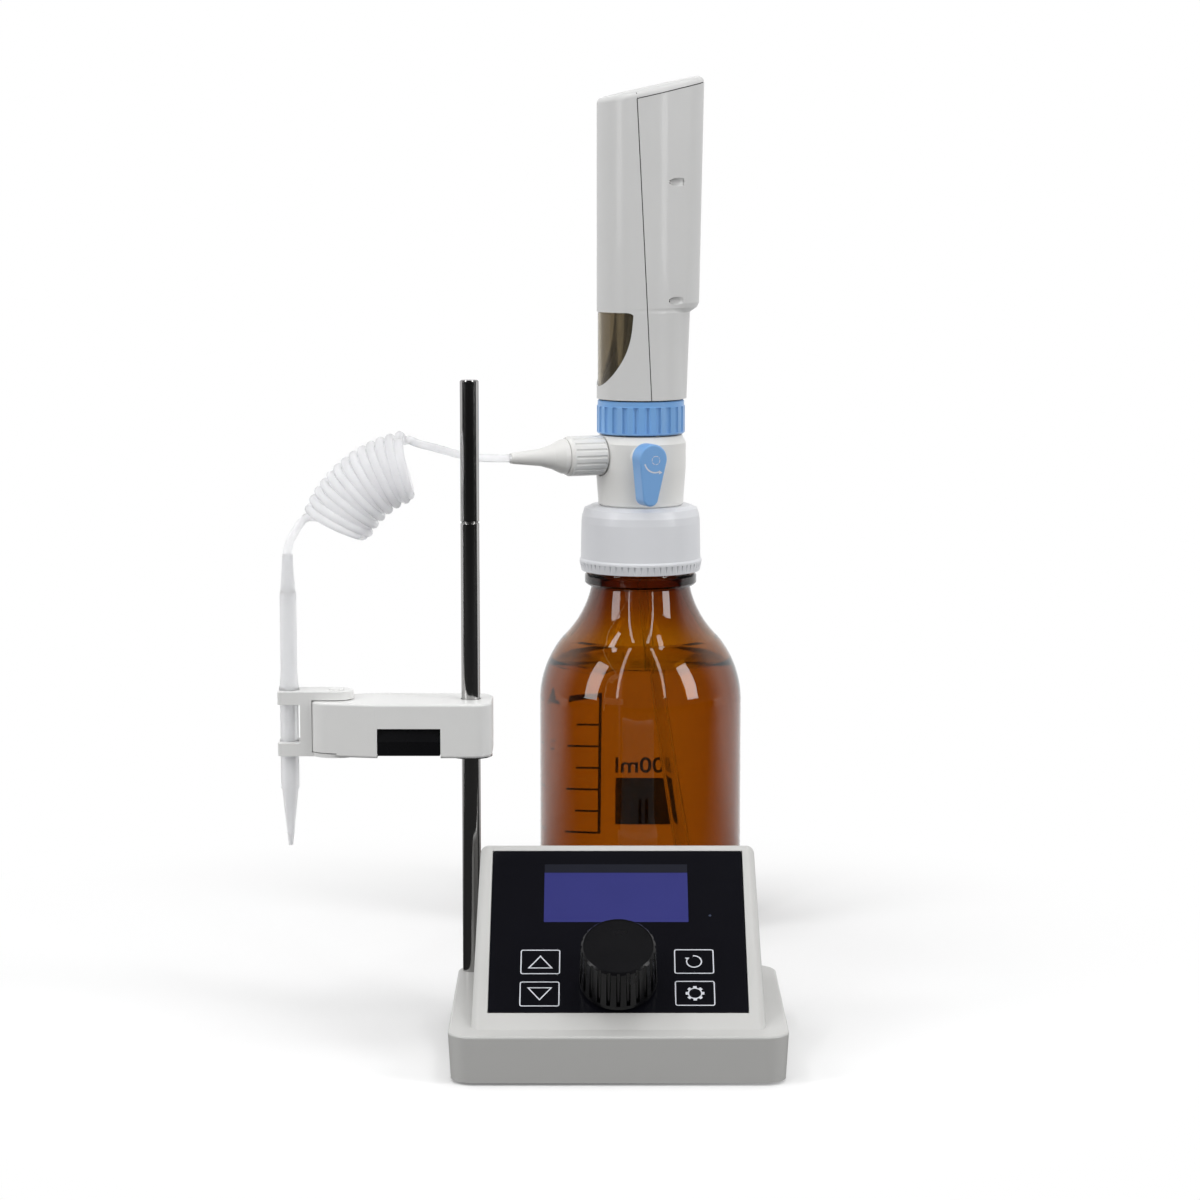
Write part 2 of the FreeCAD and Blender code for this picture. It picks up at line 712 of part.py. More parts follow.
def arm_plan(low, high):
    # Straight right end, sides that narrow a little to a full round at the pivot.
    right = rounded_block(BUTTON_X, ROD_X + ARM_RIGHT, ARM_FRONT_Y, ROD_Y + ARM_HALF_D, low, high,
                          ARM_CORNER_R)
    bend = BUTTON_X - OVER
    square = box(bend, BUTTON_X + ARM_CORNER_R, ARM_FRONT_Y, ROD_Y + ARM_HALF_D, low, high)
    angle = math.asin((ARM_HALF_D - ARM_END_R) / (bend - PIVOT_X))
    x = PIVOT_X - ARM_END_R * math.sin(angle)
    y = ARM_END_R * math.cos(angle)
    taper = wire_face([V(x, ROD_Y - y, low), V(bend, ARM_FRONT_Y, low),
                       V(bend, ROD_Y + ARM_HALF_D, low), V(x, ROD_Y + y, low)])
    taper = taper.extrude(V(0, 0, high - low))
    end = cylinder(ARM_END_R, low, high, PIVOT_X, ROD_Y)
    return right.fuse([square, taper, end]).removeSplitter()


def arm_body():
    arm = arm_plan(ARM_BOTTOM_Z, ARM_TOP_Z)
    rims = edges_at_height(arm, ARM_TOP_Z) + edges_at_height(arm, ARM_BOTTOM_Z)
    arm = arm.makeFillet(ARM_EDGE_R, rims)
    arm = arm.cut(cylinder(ARM_END_R + YOKE_GAP, ARM_BOTTOM_Z - OVER, ARM_BOTTOM_Z + ARM_STEP, PIVOT_X, ROD_Y))
    arm = arm.cut(cylinder(BUSH_R + RUN_FIT, ARM_BOTTOM_Z, ARM_TOP_Z - BUSH_ROOF, ROD_X, ROD_Y))
    arm = arm.cut(cylinder(ROD_R + SOFT_GAP, ARM_BOTTOM_Z, ARM_TOP_Z, ROD_X, ROD_Y))
    arm = arm.cut(cylinder(PIN_R + RUN_FIT, ARM_BOTTOM_Z, ARM_TOP_Z, PIVOT_X, ROD_Y))
    pocket = box(BUTTON_X - BUTTON_GAP, BUTTON_X + BUTTON_W + BUTTON_GAP, ARM_FRONT_Y - OVER,
                 ARM_FRONT_Y + BUTTON_DEPTH + BUTTON_TRAVEL + PART_GAP, ARM_BOTTOM_Z - OVER,
                 BUTTON_TOP_Z + BUTTON_GAP)
    arm = arm.cut(pocket)
    for x in spring_places():
        start = V(x, ARM_FRONT_Y + BUTTON_DEPTH, BUTTON_MID_Z)
        arm = arm.cut(Part.makeCylinder(SPRING_R + PART_GAP, SPRING_LEN, start, Y_AXIS))
    return arm


def spring_places():
    return [BUTTON_X + BUTTON_W * share for share in (0.25, 0.75)]


def release_button():
    low = ARM_BOTTOM_Z + BUTTON_LOW
    front = ARM_FRONT_Y
    back = ARM_FRONT_Y + BUTTON_DEPTH
    outline = [V(BUTTON_X, front, low), V(BUTTON_X, front, BUTTON_MID_Z),
               V(BUTTON_X, front + BUTTON_FOLD, BUTTON_TOP_Z), V(BUTTON_X, back, BUTTON_TOP_Z),
               V(BUTTON_X, back, low)]
    return wire_face(outline).extrude(V(BUTTON_W, 0, 0))


def button_springs():
    springs = []
    for x in spring_places():
        start = V(x, ARM_FRONT_Y + BUTTON_DEPTH, BUTTON_MID_Z)
        coil = Part.makeCylinder(SPRING_R, SPRING_LEN - RUN_FIT, start, Y_AXIS)
        springs.append(coil.cut(Part.makeCylinder(SPRING_R - SPRING_WALL, SPRING_LEN, start, Y_AXIS)))
    return Part.makeCompound(springs)


def clamp_bush():
    top = ARM_TOP_Z - BUSH_ROOF - RUN_FIT
    low = ARM_BOTTOM_Z - BUSH_FLANGE_GAP
    bush = cylinder(BUSH_R, low, top, ROD_X, ROD_Y)
    flange = cylinder(BUSH_FLANGE_R, low - BUSH_FLANGE_T, low, ROD_X, ROD_Y)
    bore = cylinder(ROD_R + RUN_FIT, low - BUSH_FLANGE_T, ARM_TOP_Z, ROD_X, ROD_Y)
    return bush.fuse(flange).removeSplitter().cut(bore)


# Tip holder and tip

def tongue(low, high, left, radius):
    bar = box(left, PIVOT_X, ROD_Y - YOKE_HALF_D, ROD_Y + YOKE_HALF_D, low, high)
    return bar.fuse(cylinder(radius, low, high, PIVOT_X, ROD_Y)).removeSplitter()


def tip_yoke():
    nose = TIP_X - YOKE_NOSE
    swing = ARM_END_R + YOKE_GAP
    web_left = PIVOT_X - swing - YOKE_WEB
    inner = PIVOT_X - swing / 2
    near, far = ROD_Y - YOKE_HALF_D, ROD_Y + YOKE_HALF_D
    plates = [tongue(LOW_TONGUE_Z, LOW_TONGUE_TOP_Z, nose, ARM_END_R - YOKE_GAP),
              box(nose, inner, near, far, HOLDER_TOP_Z - YOKE_CHEEK, HOLDER_TOP_Z),
              box(nose, inner, near, far, LOW_TONGUE_Z, LOW_TONGUE_Z + YOKE_CHEEK),
              box(web_left, inner, near, far, LOW_TONGUE_Z, HOLDER_TOP_Z)]
    yoke = tongue(HIGH_TONGUE_Z, HOLDER_TOP_Z, nose, YOKE_HALF_D).fuse(plates)
    yoke = yoke.cut(cylinder(swing, LOW_TONGUE_TOP_Z, HIGH_TONGUE_Z, PIVOT_X, ROD_Y)).removeSplitter()
    corners = [e for e in yoke.Edges if abs(e.BoundBox.XMax - nose) < 0.01 and e.BoundBox.ZLength > 2]
    yoke = yoke.makeFillet(YOKE_CORNER_R, corners)
    low, high = LOW_TONGUE_Z - OVER, HOLDER_TOP_Z + OVER
    yoke = yoke.cut(cylinder(TIP_BODY_R + RUN_FIT, low, high, TIP_X, ROD_Y))
    slot = box(nose - OVER, TIP_X, ROD_Y - YOKE_SLOT / 2, ROD_Y + YOKE_SLOT / 2, low, high)
    return yoke.cut(slot).cut(cylinder(PIN_R, low, high, PIVOT_X, ROD_Y))


def yoke_pin():
    high = HOLDER_TOP_Z + PIN_HEAD_T
    head = cylinder(PIN_HEAD_R, HOLDER_TOP_Z, high, PIVOT_X, ROD_Y)
    head = head.makeFillet(PIN_HEAD_T / 2, edges_at_height(head, high))
    return cylinder(PIN_R, LOW_TONGUE_Z, HOLDER_TOP_Z, PIVOT_X, ROD_Y).fuse(head).removeSplitter()


def tip_sleeve():
    foot = HOLDER_TOP_Z
    return revolve_points([(TIP_BORE_R, foot), (TIP_BODY_R + 0.5, foot), (TIP_BODY_R, foot + 2.2),
                           (SLEEVE_R, foot + 7), (SLEEVE_R, SLEEVE_TOP_Z), (TIP_BORE_R, SLEEVE_TOP_Z)],
                          TIP_X, ROD_Y)


def titration_tip():
    step = TIP_BODY_BOTTOM_Z
    return revolve_points([(TIP_BORE_R, HOLDER_TOP_Z), (TIP_BODY_R, HOLDER_TOP_Z), (TIP_BODY_R, step),
                           (TIP_BODY_R - TIP_STEP, step), (TIP_END_R, TIP_END_Z),
                           (TIP_END_R / 2, TIP_END_Z), (TIP_BORE_R, step)], TIP_X, ROD_Y)


def tube_boot():
    return revolve_points([(TUBE_R, SLEEVE_TOP_Z), (SLEEVE_R - 0.25, SLEEVE_TOP_Z),
                           (TUBE_R + 0.5, BOOT_TOP_Z - 5), (TUBE_R + 0.3, BOOT_TOP_Z),
                           (TUBE_R, BOOT_TOP_Z)], TIP_X, ROD_Y)


# Outlet tube: routes chosen by hand, laid as straight runs joined by tangent arcs

NOZZLE_TURN = math.radians(BLOCK_TURN_DEG)
TUBE_START = V(BOTTLE_X - CONE_END * math.cos(NOZZLE_TURN), BOTTLE_Y - CONE_END * math.sin(NOZZLE_TURN),
               NOZZLE_Z)

RUN_ROUTE = [TUBE_START, V(-55.0, 235.0, 200.2), V(-64.0, 222.0, 203.0), V(-70.0, 204.0, 206.5),
             V(-73.5, 184.0, 209.5)]
LEAD_ROUTE = [V(-73.5, 184.0, 209.5), V(-76.0, 166.0, 211.8), V(-78.2, 147.0, 214.4),
              V(-79.4, 128.0, 217.2), V(-79.6, 110.0, 219.6)]
DROP_ROUTE = [V(-117.0, 99.1, 190.4), V(-119.4, 98.2, 186.9), V(-121.9, 96.6, 182.9),
              V(-123.0, 95.4, 179.4), V(TIP_X, ROD_Y, BOOT_TOP_Z)]


def short_start(route):
    # The route with its first point a soft gap further on, clear of the stretch before it.
    return [route[0] + (route[1] - route[0]).normalize() * SOFT_GAP] + route[1:]


def tube_path(points):
    pieces = []
    radii = []
    last = points[0]
    for before, corner, after in zip(points, points[1:], points[2:]):
        a = (before - corner).normalize()
        b = (after - corner).normalize()
        half_turn = (math.pi - a.getAngle(b)) / 2
        reach = 0.45 * min((before - corner).Length, (after - corner).Length)
        radius = reach / math.tan(half_turn)
        radii.append(round(radius, 1))
        start = corner + a * reach
        end = corner + b * reach
        middle = corner + (a + b).normalize() * (math.hypot(radius, reach) - radius)
        pieces.append(Part.LineSegment(last, start).toShape())
        pieces.append(Part.Arc(start, middle, end).toShape())
        last = end
    pieces.append(Part.LineSegment(last, points[-1]).toShape())
    print("arc radii", radii)
    return Part.Wire(pieces)


def tube_along(points):
    path = tube_path(points)
    circle = Part.makeCircle(TUBE_R, points[0], points[1] - points[0])
    return path.makePipeShell([Part.Wire([circle])], True, False)


def tube_coil():
    centre = V(COIL_X, COIL_Y, COIL_Z)
    angle = math.radians(COIL_FROM_DEG)
    out = V(math.cos(angle), 0, math.sin(angle))
    along = V(-math.sin(angle), 0, math.cos(angle))
    disc = Part.Face(Part.Wire([Part.makeCircle(COIL_R, centre + out * COIL_ARC_R, along)]))
    return disc.revolve(centre, V(0, -1, 0), COIL_SPAN_DEG)


# Bottle

def bottle_outline(inset):
    # One half outline of the glass, inset by a wall for its inner side.
    r = BOTTLE_R - inset
    low = inset + (PUNT_H if inset else 0)
    shoulder_r = BOTTLE_R * 0.775 - inset
    shoulder_z = BOTTLE_BODY_Z + 25.5
    corner = BOTTLE_BASE_R - inset / 2
    turn = corner * (1 - math.sqrt(0.5))
    neck_r = BOTTLE_BORE_R if inset else NECK_R
    return [
        Part.LineSegment(V(0, 0, low), V(r - corner, 0, low)).toShape(),
        Part.Arc(V(r - corner, 0, low), V(r - turn, 0, low + turn), V(r, 0, low + corner)).toShape(),
        Part.LineSegment(V(r, 0, low + corner), V(r, 0, BOTTLE_BODY_Z)).toShape(),
        Part.Arc(V(r, 0, BOTTLE_BODY_Z), V(r - 2.7, 0, BOTTLE_BODY_Z + 13.5),
                 V(shoulder_r, 0, shoulder_z)).toShape(),
        Part.Arc(V(shoulder_r, 0, shoulder_z), V((shoulder_r + neck_r) / 2 - 1.6, 0, shoulder_z + 10),
                 V(neck_r, 0, NECK_LOW_Z)).toShape(),
    ]


def lathe(edges, top):
    # Closes an outline over the top and along the axis and turns it into a solid.
    end = edges[-1].valueAt(edges[-1].LastParameter)
    start = edges[0].valueAt(edges[0].FirstParameter)
    points = [end] + [V(r, 0, z) for r, z in top] + [V(0, 0, top[-1][1]), start]
    closing = Part.makePolygon(points)
    face = Part.Face(Part.Wire(edges + closing.Edges))
    solid = face.revolve(V(0, 0, 0), Z_AXIS, 360)
    solid.translate(V(BOTTLE_X, BOTTLE_Y, 0))
    return solid


def bottle():
    top = [(NECK_R, COLLAR_LOW_Z), (COLLAR_R - 0.8, COLLAR_LOW_Z), (COLLAR_R, COLLAR_LOW_Z + 0.9),
           (COLLAR_R, COLLAR_TOP_Z - 0.9), (COLLAR_R - 0.8, COLLAR_TOP_Z), (FINISH_R, COLLAR_TOP_Z),
           (FINISH_R, BOTTLE_H - 0.8), (FINISH_R - 0.8, BOTTLE_H)]
    glass = lathe(bottle_outline(0), top)
    inside = lathe(bottle_outline(GLASS_WALL), [(BOTTLE_BORE_R, BOTTLE_H)])
    punt = Part.makeCone(PUNT_R, PUNT_R - PUNT_SLOPE, PUNT_H, V(BOTTLE_X, BOTTLE_Y, 0))
    return glass.cut(inside).cut(punt)


def bottle_cap():
    outline = [(CAP_HOLE_R, CAP_TOP_Z), (CAP_R - CAP_SHOULDER_R, CAP_TOP_Z),
               (CAP_R - CAP_SHOULDER_R * 0.3, CAP_TOP_Z - CAP_SHOULDER_R * 0.3),
               (CAP_R - 0.3, CAP_TOP_Z - CAP_SHOULDER_R), (CAP_R, CAP_TOP_Z - CAP_SHOULDER_R - 3),
               (CAP_FLANGE_R - 0.5, CAP_LOW_Z + CAP_FLANGE_H + 0.8),
               (CAP_FLANGE_R, CAP_LOW_Z + CAP_FLANGE_H), (CAP_FLANGE_R, CAP_LOW_Z + CAP_FLANGE_H - 0.8),
               (CAP_FLANGE_R - 0.8, CAP_LOW_Z), (CAP_INNER_R, CAP_LOW_Z),
               (CAP_INNER_R, CAP_TOP_Z - CAP_TOP_WALL), (CAP_HOLE_R, CAP_TOP_Z - CAP_TOP_WALL)]
    cap = revolve_points(outline, BOTTLE_X, BOTTLE_Y)
    ribs = grooves(CAP_RIBS, CAP_FLANGE_R - 0.3, CAP_RIB_R, CAP_LOW_Z - 1, CAP_LOW_Z + CAP_FLANGE_H - 0.8)
    ribs.translate(V(BOTTLE_X, BOTTLE_Y, 0))
    return cap.cut(ribs)


def cap_seal():
    return ring(FINISH_R, CAP_HOLE_R - OVER, BOTTLE_H, BOTTLE_H + SEAL_T, BOTTLE_X, BOTTLE_Y)


# Valve block and nozzle, built round the z axis with the nozzle along -x and the lever along -y

def side_bore(radius, start, end, z=NOZZLE_Z):
    return Part.makeCylinder(radius, end - start, V(-start, 0, z), V(-1, 0, 0))


def lever_bore(radius, start, end):
    return Part.makeCylinder(radius, end - start, V(-LEVER_OFFSET, -start, NOZZLE_Z), V(0, -1, 0))


def valve_block():
    foot = CAP_TOP_Z + PART_GAP
    body = revolve_points([(0, foot), (BLOCK_FOOT_R - 0.6, foot), (BLOCK_FOOT_R, foot + 0.6),
                           (BLOCK_R, BLOCK_TOP_Z - BLOCK_TAPER_DROP),
                           (BLOCK_R, BLOCK_TOP_Z - BLOCK_EDGE_R - 2), (BLOCK_R - 1.6, BLOCK_TOP_Z),
                           (0, BLOCK_TOP_Z)])
    insert = cylinder(CAP_HOLE_R - INSERT_GAP, INSERT_LOW_Z, foot)
    insert = insert.makeFillet(BLOCK_EDGE_R, edges_at_height(insert, INSERT_LOW_Z))
    hub = lever_bore(LEVER_HUB_R, 0, LEVER_ROOT - PART_GAP)
    block = body.fuse([insert, hub]).removeSplitter()
    block = block.cut(cylinder(CYL_R + PART_GAP, CYL_LOW_Z, BLOCK_TOP_Z))
    block = block.cut(cylinder(CHANNEL_R, INLET_SEAT_Z, CYL_LOW_Z))
    block = block.cut(cylinder(INTAKE_R + RUN_FIT, INSERT_LOW_Z, INLET_SEAT_Z))
    block = block.cut(cylinder(RETURN_R + RUN_FIT, INSERT_LOW_Z, INLET_SEAT_Z, RETURN_X, RETURN_Y))
    block = block.cut(cylinder(SEAT_R + RUN_FIT, INLET_SEAT_Z, INLET_SEAT_Z + SEAT_H + BALL_ROOM))
    block = block.cut(side_bore(CHANNEL_R, 0, BLOCK_R))
    block = block.cut(side_bore(SPIGOT_R + RUN_FIT, BLOCK_R - SPIGOT_ROOT, BLOCK_R + OVER))
    block = block.cut(side_bore(NUT_R + NUT_SEAT_GAP, NUT_START - PART_GAP, BLOCK_R + OVER))
    return block.cut(lever_bore(PLUG_R + RUN_FIT, -PLUG_R - PLUG_PAST - RUN_FIT, LEVER_ROOT))


def inlet_seat():
    seat = cylinder(SEAT_R, INLET_SEAT_Z, INLET_SEAT_Z + SEAT_H)
    dish = Part.makeSphere(BALL_R + RUN_FIT, V(0, 0, ball_z()))
    return seat.cut(cylinder(CHANNEL_R - 0.6, INLET_SEAT_Z, INLET_SEAT_Z + SEAT_H)).cut(dish)


def ball_z():
    return INLET_SEAT_Z + SEAT_H + BALL_R * 0.7


def inlet_ball():
    return Part.makeSphere(BALL_R, V(0, 0, ball_z()))


def intake_tube():
    bend = V(0, 0, BOTTLE_H - INTAKE_BEND_DROP)
    end = V(INTAKE_TO_X, INTAKE_TO_Y, INTAKE_END_Z)
    top = V(0, 0, INLET_SEAT_Z)

    def stick(radius, extra):
        upper = rod_between(bend, top, radius)
        lean = (end - bend).normalize()
        lower = rod_between(bend, end + lean * extra, radius)
        return upper.fuse([lower, Part.makeSphere(radius, bend)])

    tube = stick(INTAKE_R, 0).cut(stick(INTAKE_BORE_R, 1))
    return tube.removeSplitter()


def return_tube():
    return ring(RETURN_R, RETURN_BORE_R, INSERT_LOW_Z - RETURN_LEN, INLET_SEAT_Z, RETURN_X, RETURN_Y)


SPIGOT_END = BLOCK_R + SPIGOT_LEN
NUT_END = NUT_START + NUT_LEN


def nozzle_spigot():
    spigot = side_bore(SPIGOT_R, BLOCK_R - SPIGOT_ROOT, SPIGOT_END)
    return spigot.cut(side_bore(CHANNEL_R - 0.4, BLOCK_R - SPIGOT_ROOT, SPIGOT_END))


def along_nozzle(points):
    # Turns an outline of (radius, distance from the block's axis) about the nozzle's axis.
    outline = wire_face([V(-d, 0, r) for r, d in points])
    solid = outline.revolve(V(0, 0, 0), X_AXIS, 360)
    solid.translate(V(0, 0, NOZZLE_Z))
    return solid


def nozzle_nut():
    inner = SPIGOT_R + RUN_FIT
    nut = along_nozzle([(inner, NUT_START), (NUT_R - 0.8, NUT_START), (NUT_R, NUT_START + 0.8),
                        (NUT_R, NUT_END - 1.2), (NUT_R - 0.7, NUT_END), (CONE_NECK_R + RUN_FIT, NUT_END),
                        (CONE_NECK_R + RUN_FIT, NUT_END - NUT_LIP), (inner, NUT_END - NUT_LIP)])
    step = 2 * math.pi / NUT_RIBS
    cuts = []
    for i in range(NUT_RIBS):
        y = (NUT_R + NUT_RIB_R * 0.3) * math.cos(i * step)
        z = (NUT_R + NUT_RIB_R * 0.3) * math.sin(i * step)
        start = V(-NUT_START - OVER, y, NOZZLE_Z + z)
        cuts.append(Part.makeCylinder(NUT_RIB_R, NUT_LEN - 3 * OVER, start, V(-1, 0, 0)))
    return nut.cut(Part.makeCompound(cuts))


def nozzle_cone():
    # The flange sits under the nut's lip against the spigot's end.
    return along_nozzle([(TUBE_R, SPIGOT_END), (SPIGOT_R - RUN_FIT, SPIGOT_END),
                         (SPIGOT_R - RUN_FIT, NUT_END - NUT_LIP - PART_GAP),
                         (CONE_NECK_R, NUT_END - NUT_LIP - PART_GAP), (CONE_NECK_R, NUT_END + 0.2),
                         (CONE_BIG_R, NUT_END + 0.2), (CONE_BIG_R - 0.3, NUT_END + 2.2),
                         (CONE_BIG_R - 2.2, NUT_END + 6.2), (CONE_BIG_R - 3.7, NUT_END + 11.4),
                         (CONE_TIP_R + 0.3, CONE_END - 1.4), (CONE_TIP_R, CONE_END), (TUBE_R, CONE_END)])


def valve_plug():
    plug = lever_bore(PLUG_R, -PLUG_R - PLUG_PAST, LEVER_ROOT)
    return plug.cut(side_bore(CHANNEL_R, -CHANNEL_R, BLOCK_R))


def valve_lever():
    drop = NOZZLE_Z - LEVER_REACH
    angle = math.asin((LEVER_TOP_R - LEVER_TIP_R) / LEVER_REACH)
    c, s = math.cos(angle), math.sin(angle)
    y = -LEVER_ROOT
    x0 = -LEVER_OFFSET
    top_l = V(x0 - LEVER_TOP_R * c, y, NOZZLE_Z - LEVER_TOP_R * s)
    top_r = V(x0 + LEVER_TOP_R * c, y, NOZZLE_Z - LEVER_TOP_R * s)
    tip_l = V(x0 - LEVER_TIP_R * c, y, drop - LEVER_TIP_R * s)
    tip_r = V(x0 + LEVER_TIP_R * c, y, drop - LEVER_TIP_R * s)
    outline = Part.Wire([
        Part.Arc(top_l, V(x0, y, NOZZLE_Z + LEVER_TOP_R), top_r).toShape(),
        Part.LineSegment(top_r, tip_r).toShape(),
        Part.Arc(tip_r, V(x0, y, drop - LEVER_TIP_R), tip_l).toShape(),
        Part.LineSegment(tip_l, top_l).toShape()])
    lever = Part.Face(outline).extrude(V(0, LEVER_ROOT - LEVER_FACE, 0))
    face = [e for e in lever.Edges if abs(e.BoundBox.YMax + LEVER_FACE) < 0.01]
    lever = lever.makeFillet(LEVER_EDGE_R, face)
    lever.rotate(V(x0, y, NOZZLE_Z), Y_AXIS, LEVER_REST_DEG)
    return lever


# Union ring

def union_ring():
    top = RING_LOW_Z + RING_H
    body = revolve_points([(RING_INNER_R, RING_LOW_Z), (RING_R - 0.5, RING_LOW_Z),
                           (RING_R, RING_LOW_Z + 0.5), (RING_R, top - RING_BAND_H),
                           (RING_BAND_R, top - RING_BAND_H + 0.2), (RING_BAND_R, top - 0.4),
                           (RING_BAND_R - 0.4, top), (RING_INNER_R, top)])
    cuts = grooves(RING_RIBS, RING_R + RING_GROOVE_R * 0.25, RING_GROOVE_R, RING_LOW_Z + 0.9,
                   top - RING_BAND_H)
    return body.cut(cuts)


# Dosing head: its front faces -x

def plan_wire(rear, inset, z):
    # Round front, sides tangent to a smaller round at the rear.
    front_r = HEAD_FRONT_R - inset
    rear_r = max(REAR_R - inset, 1.0) if rear > HEAD_FRONT_R + 0.5 else front_r
    centre = rear - inset - rear_r
    angle = math.acos((front_r - rear_r) / centre) if centre > front_r - rear_r + 0.01 else math.pi / 2
    c, s = math.cos(angle), math.sin(angle)
    a = V(front_r * c, front_r * s, z)
    b = V(centre + rear_r * c, rear_r * s, z)
    a2 = V(a.x, -a.y, z)
    b2 = V(b.x, -b.y, z)
    return Part.Wire([
        Part.Arc(a, V(-front_r, 0, z), a2).toShape(),
        Part.LineSegment(a2, b2).toShape(),
        Part.Arc(b2, V(centre + rear_r, 0, z), b).toShape(),
        Part.LineSegment(b, a).toShape()])


def head_form(inset, floor):
    # The whole head's outside, or its inside when inset by a wall. Its back steps out over a
    # rounded ledge.
    high = HEAD_TOP_REAR_Z + 2 * LID_T
    step = HEAD_STEP_Z + inset
    levels = [(REAR_AT_FOOT, floor), (REAR_BELOW_STEP, step - STEP_ROUND),
              (REAR_ABOVE_STEP - STEP_ROUND / 2, step), (REAR_ABOVE_STEP, step + STEP_ROUND), (REAR_TOP, high)]
    form = Part.makeLoft([plan_wire(rear, inset, z) for rear, z in levels], True, True)
    return form.cut(above_top(inset))


def above_top(drop):
    # Everything above a plane that lies a given drop under the slanting top.
    front = V(-HEAD_FRONT_R, 0, HEAD_TOP_FRONT_Z - drop)
    rear = V(REAR_TOP, 0, HEAD_TOP_REAR_Z - drop)
    lean = (rear - front).normalize()
    a, b = front - lean * FAR, rear + lean * FAR
    wedge = wire_face([a, b, b + V(0, 0, FAR), a + V(0, 0, FAR)]).extrude(V(0, 2 * FAR, 0))
    wedge.translate(V(0, -FAR, 0))
    return wedge


def top_rim(form):
    return [e for e in form.Edges if e.BoundBox.ZMin > HEAD_TOP_FRONT_Z - OVER]


def seam_slab(side, thick):
    # A slab on one side of the parting plane, which leans forward to the top.
    low = HEAD_LOW_Z - OVER
    high = HEAD_TOP_REAR_Z + OVER
    slope = -SEAM_TOP_FORWARD / (HEAD_TOP_FRONT_Z - HEAD_LOW_Z)
    x0 = slope * (low - HEAD_LOW_Z)
    x1 = slope * (high - HEAD_LOW_Z)
    outline = wire_face([V(x0, -FAR, low), V(x1, -FAR, high), V(x1 + side * thick, -FAR, high),
                         V(x0 + side * thick, -FAR, low)])
    return outline.extrude(V(0, 2 * FAR, 0))


def window_cutter(shrink):
    # The drop-shaped window, drawn on the round front and seen along x.
    points = []
    steps = 8
    top = HEAD_LOW_Z + WINDOW_UP - shrink
    for i in range(steps + 1):
        t = math.pi * i / steps
        across = math.radians(WINDOW_HALF_DEG) * math.cos(t)
        y = (HEAD_FRONT_R - shrink) * math.sin(across)
        points.append(V(0, y, top - (WINDOW_DROP - 2 * shrink) * math.sin(t)))
    curve = Part.BSplineCurve()
    curve.interpolate(points)
    face = Part.Face(Part.Wire([curve.toShape(), Part.LineSegment(points[-1], points[0]).toShape()]))
    cutter = face.extrude(V(-HEAD_FRONT_R - OVER, 0, 0))
    corners = [e for e in cutter.Edges if e.BoundBox.XLength > HEAD_FRONT_R]
    return cutter.makeFillet(WINDOW_CORNER_R, corners)


def recess_places():
    # Screw axes run to the front, where the slanting side wall stands at RECESS_X.
    places = []
    for up in (RECESS_LOW_UP, RECESS_HIGH_UP):
        for side in (-1, 1):
            places.append((side * side_half_width(HEAD_LOW_Z + up), HEAD_LOW_Z + up))
    return places


def side_half_width(z):
    wall = plan_wire(REAR_ABOVE_STEP, 0, z)
    line = Part.LineSegment(V(RECESS_X, 0, z), V(RECESS_X, -FAR, z)).toShape()
    return abs(wall.distToShape(line)[1][0][0].y)


def along_x(radius, start, end, y, z):
    return Part.makeCylinder(radius, end - start, V(start, y, z), X_AXIS)


def scoop(y, z):
    # A hollow that widens to the rear, where a screw's bore comes out of the side.
    length = SCOOP_REAR_X - SCOOP_FRONT_X
    start = V(SCOOP_FRONT_X, y + math.copysign(SCOOP_OUT, y), z)
    return Part.makeCone(SCOOP_FRONT_R, SCOOP_REAR_R, length, start, X_AXIS)


def head_shells():
    form = head_form(0, HEAD_LOW_Z)
    outer = form.makeFillet(HEAD_EDGE_R, top_rim(form))
    shell = outer.cut(head_form(HEAD_WALL, HEAD_LOW_Z + HEAD_WALL))
    bosses = [along_x(SCREW_BOSS_R, SCREW_BOSS_X, RECESS_X + FAR / 4, y, z) for y, z in recess_places()]
    shell = shell.fuse(Part.makeCompound(bosses).common(outer)).removeSplitter()
    shell = shell.cut(cylinder(CYL_R + OVER, HEAD_LOW_Z - OVER, HEAD_LOW_Z + HEAD_WALL + OVER))
    for y, z in recess_places():
        shell = shell.cut(along_x(RECESS_BORE_R, SHELL_SCREW_HEAD_X, RECESS_X + FAR / 4, y, z))
        shell = shell.cut(scoop(y, z))
        shell = shell.cut(along_x(SHELL_SCREW_R + RUN_FIT, SHELL_SCREW_END_X, SHELL_SCREW_HEAD_X, y, z))
    lid = above_top(LID_T)
    skin = outer.cut(head_form(SEAM_GROOVE, HEAD_LOW_Z - OVER))
    seam = seam_slab(-1, SEAM_GROOVE).cut(lid)
    lid_line = above_top(LID_T).cut(above_top(LID_T - SEAM_GROOVE)).common(seam_slab(1, FAR))
    shell = shell.cut(skin.common(seam)).cut(skin.common(lid_line))
    shell = shell.cut(window_cutter(0))
    front = shell.cut(seam_slab(1, FAR).cut(lid))
    rear = shell.common(seam_slab(1, FAR).cut(lid))
    return front, rear


def shell_screws():
    screws = []
    for y, z in recess_places():
        head = along_x(SHELL_SCREW_HEAD_R, SHELL_SCREW_HEAD_X, SHELL_SCREW_HEAD_X + SHELL_SCREW_HEAD_T, y, z)
        shank = along_x(SHELL_SCREW_R, SHELL_SCREW_END_X + RUN_FIT, SHELL_SCREW_HEAD_X, y, z)
        screws.append(head.fuse(shank).removeSplitter())
    return Part.makeCompound(screws)


def window_pane():
    band = head_form(SEAM_GROOVE, HEAD_LOW_Z).cut(head_form(SEAM_GROOVE + WINDOW_T, HEAD_LOW_Z - OVER))
    return band.common(window_cutter(PANE_GAP))


# Syringe and drive

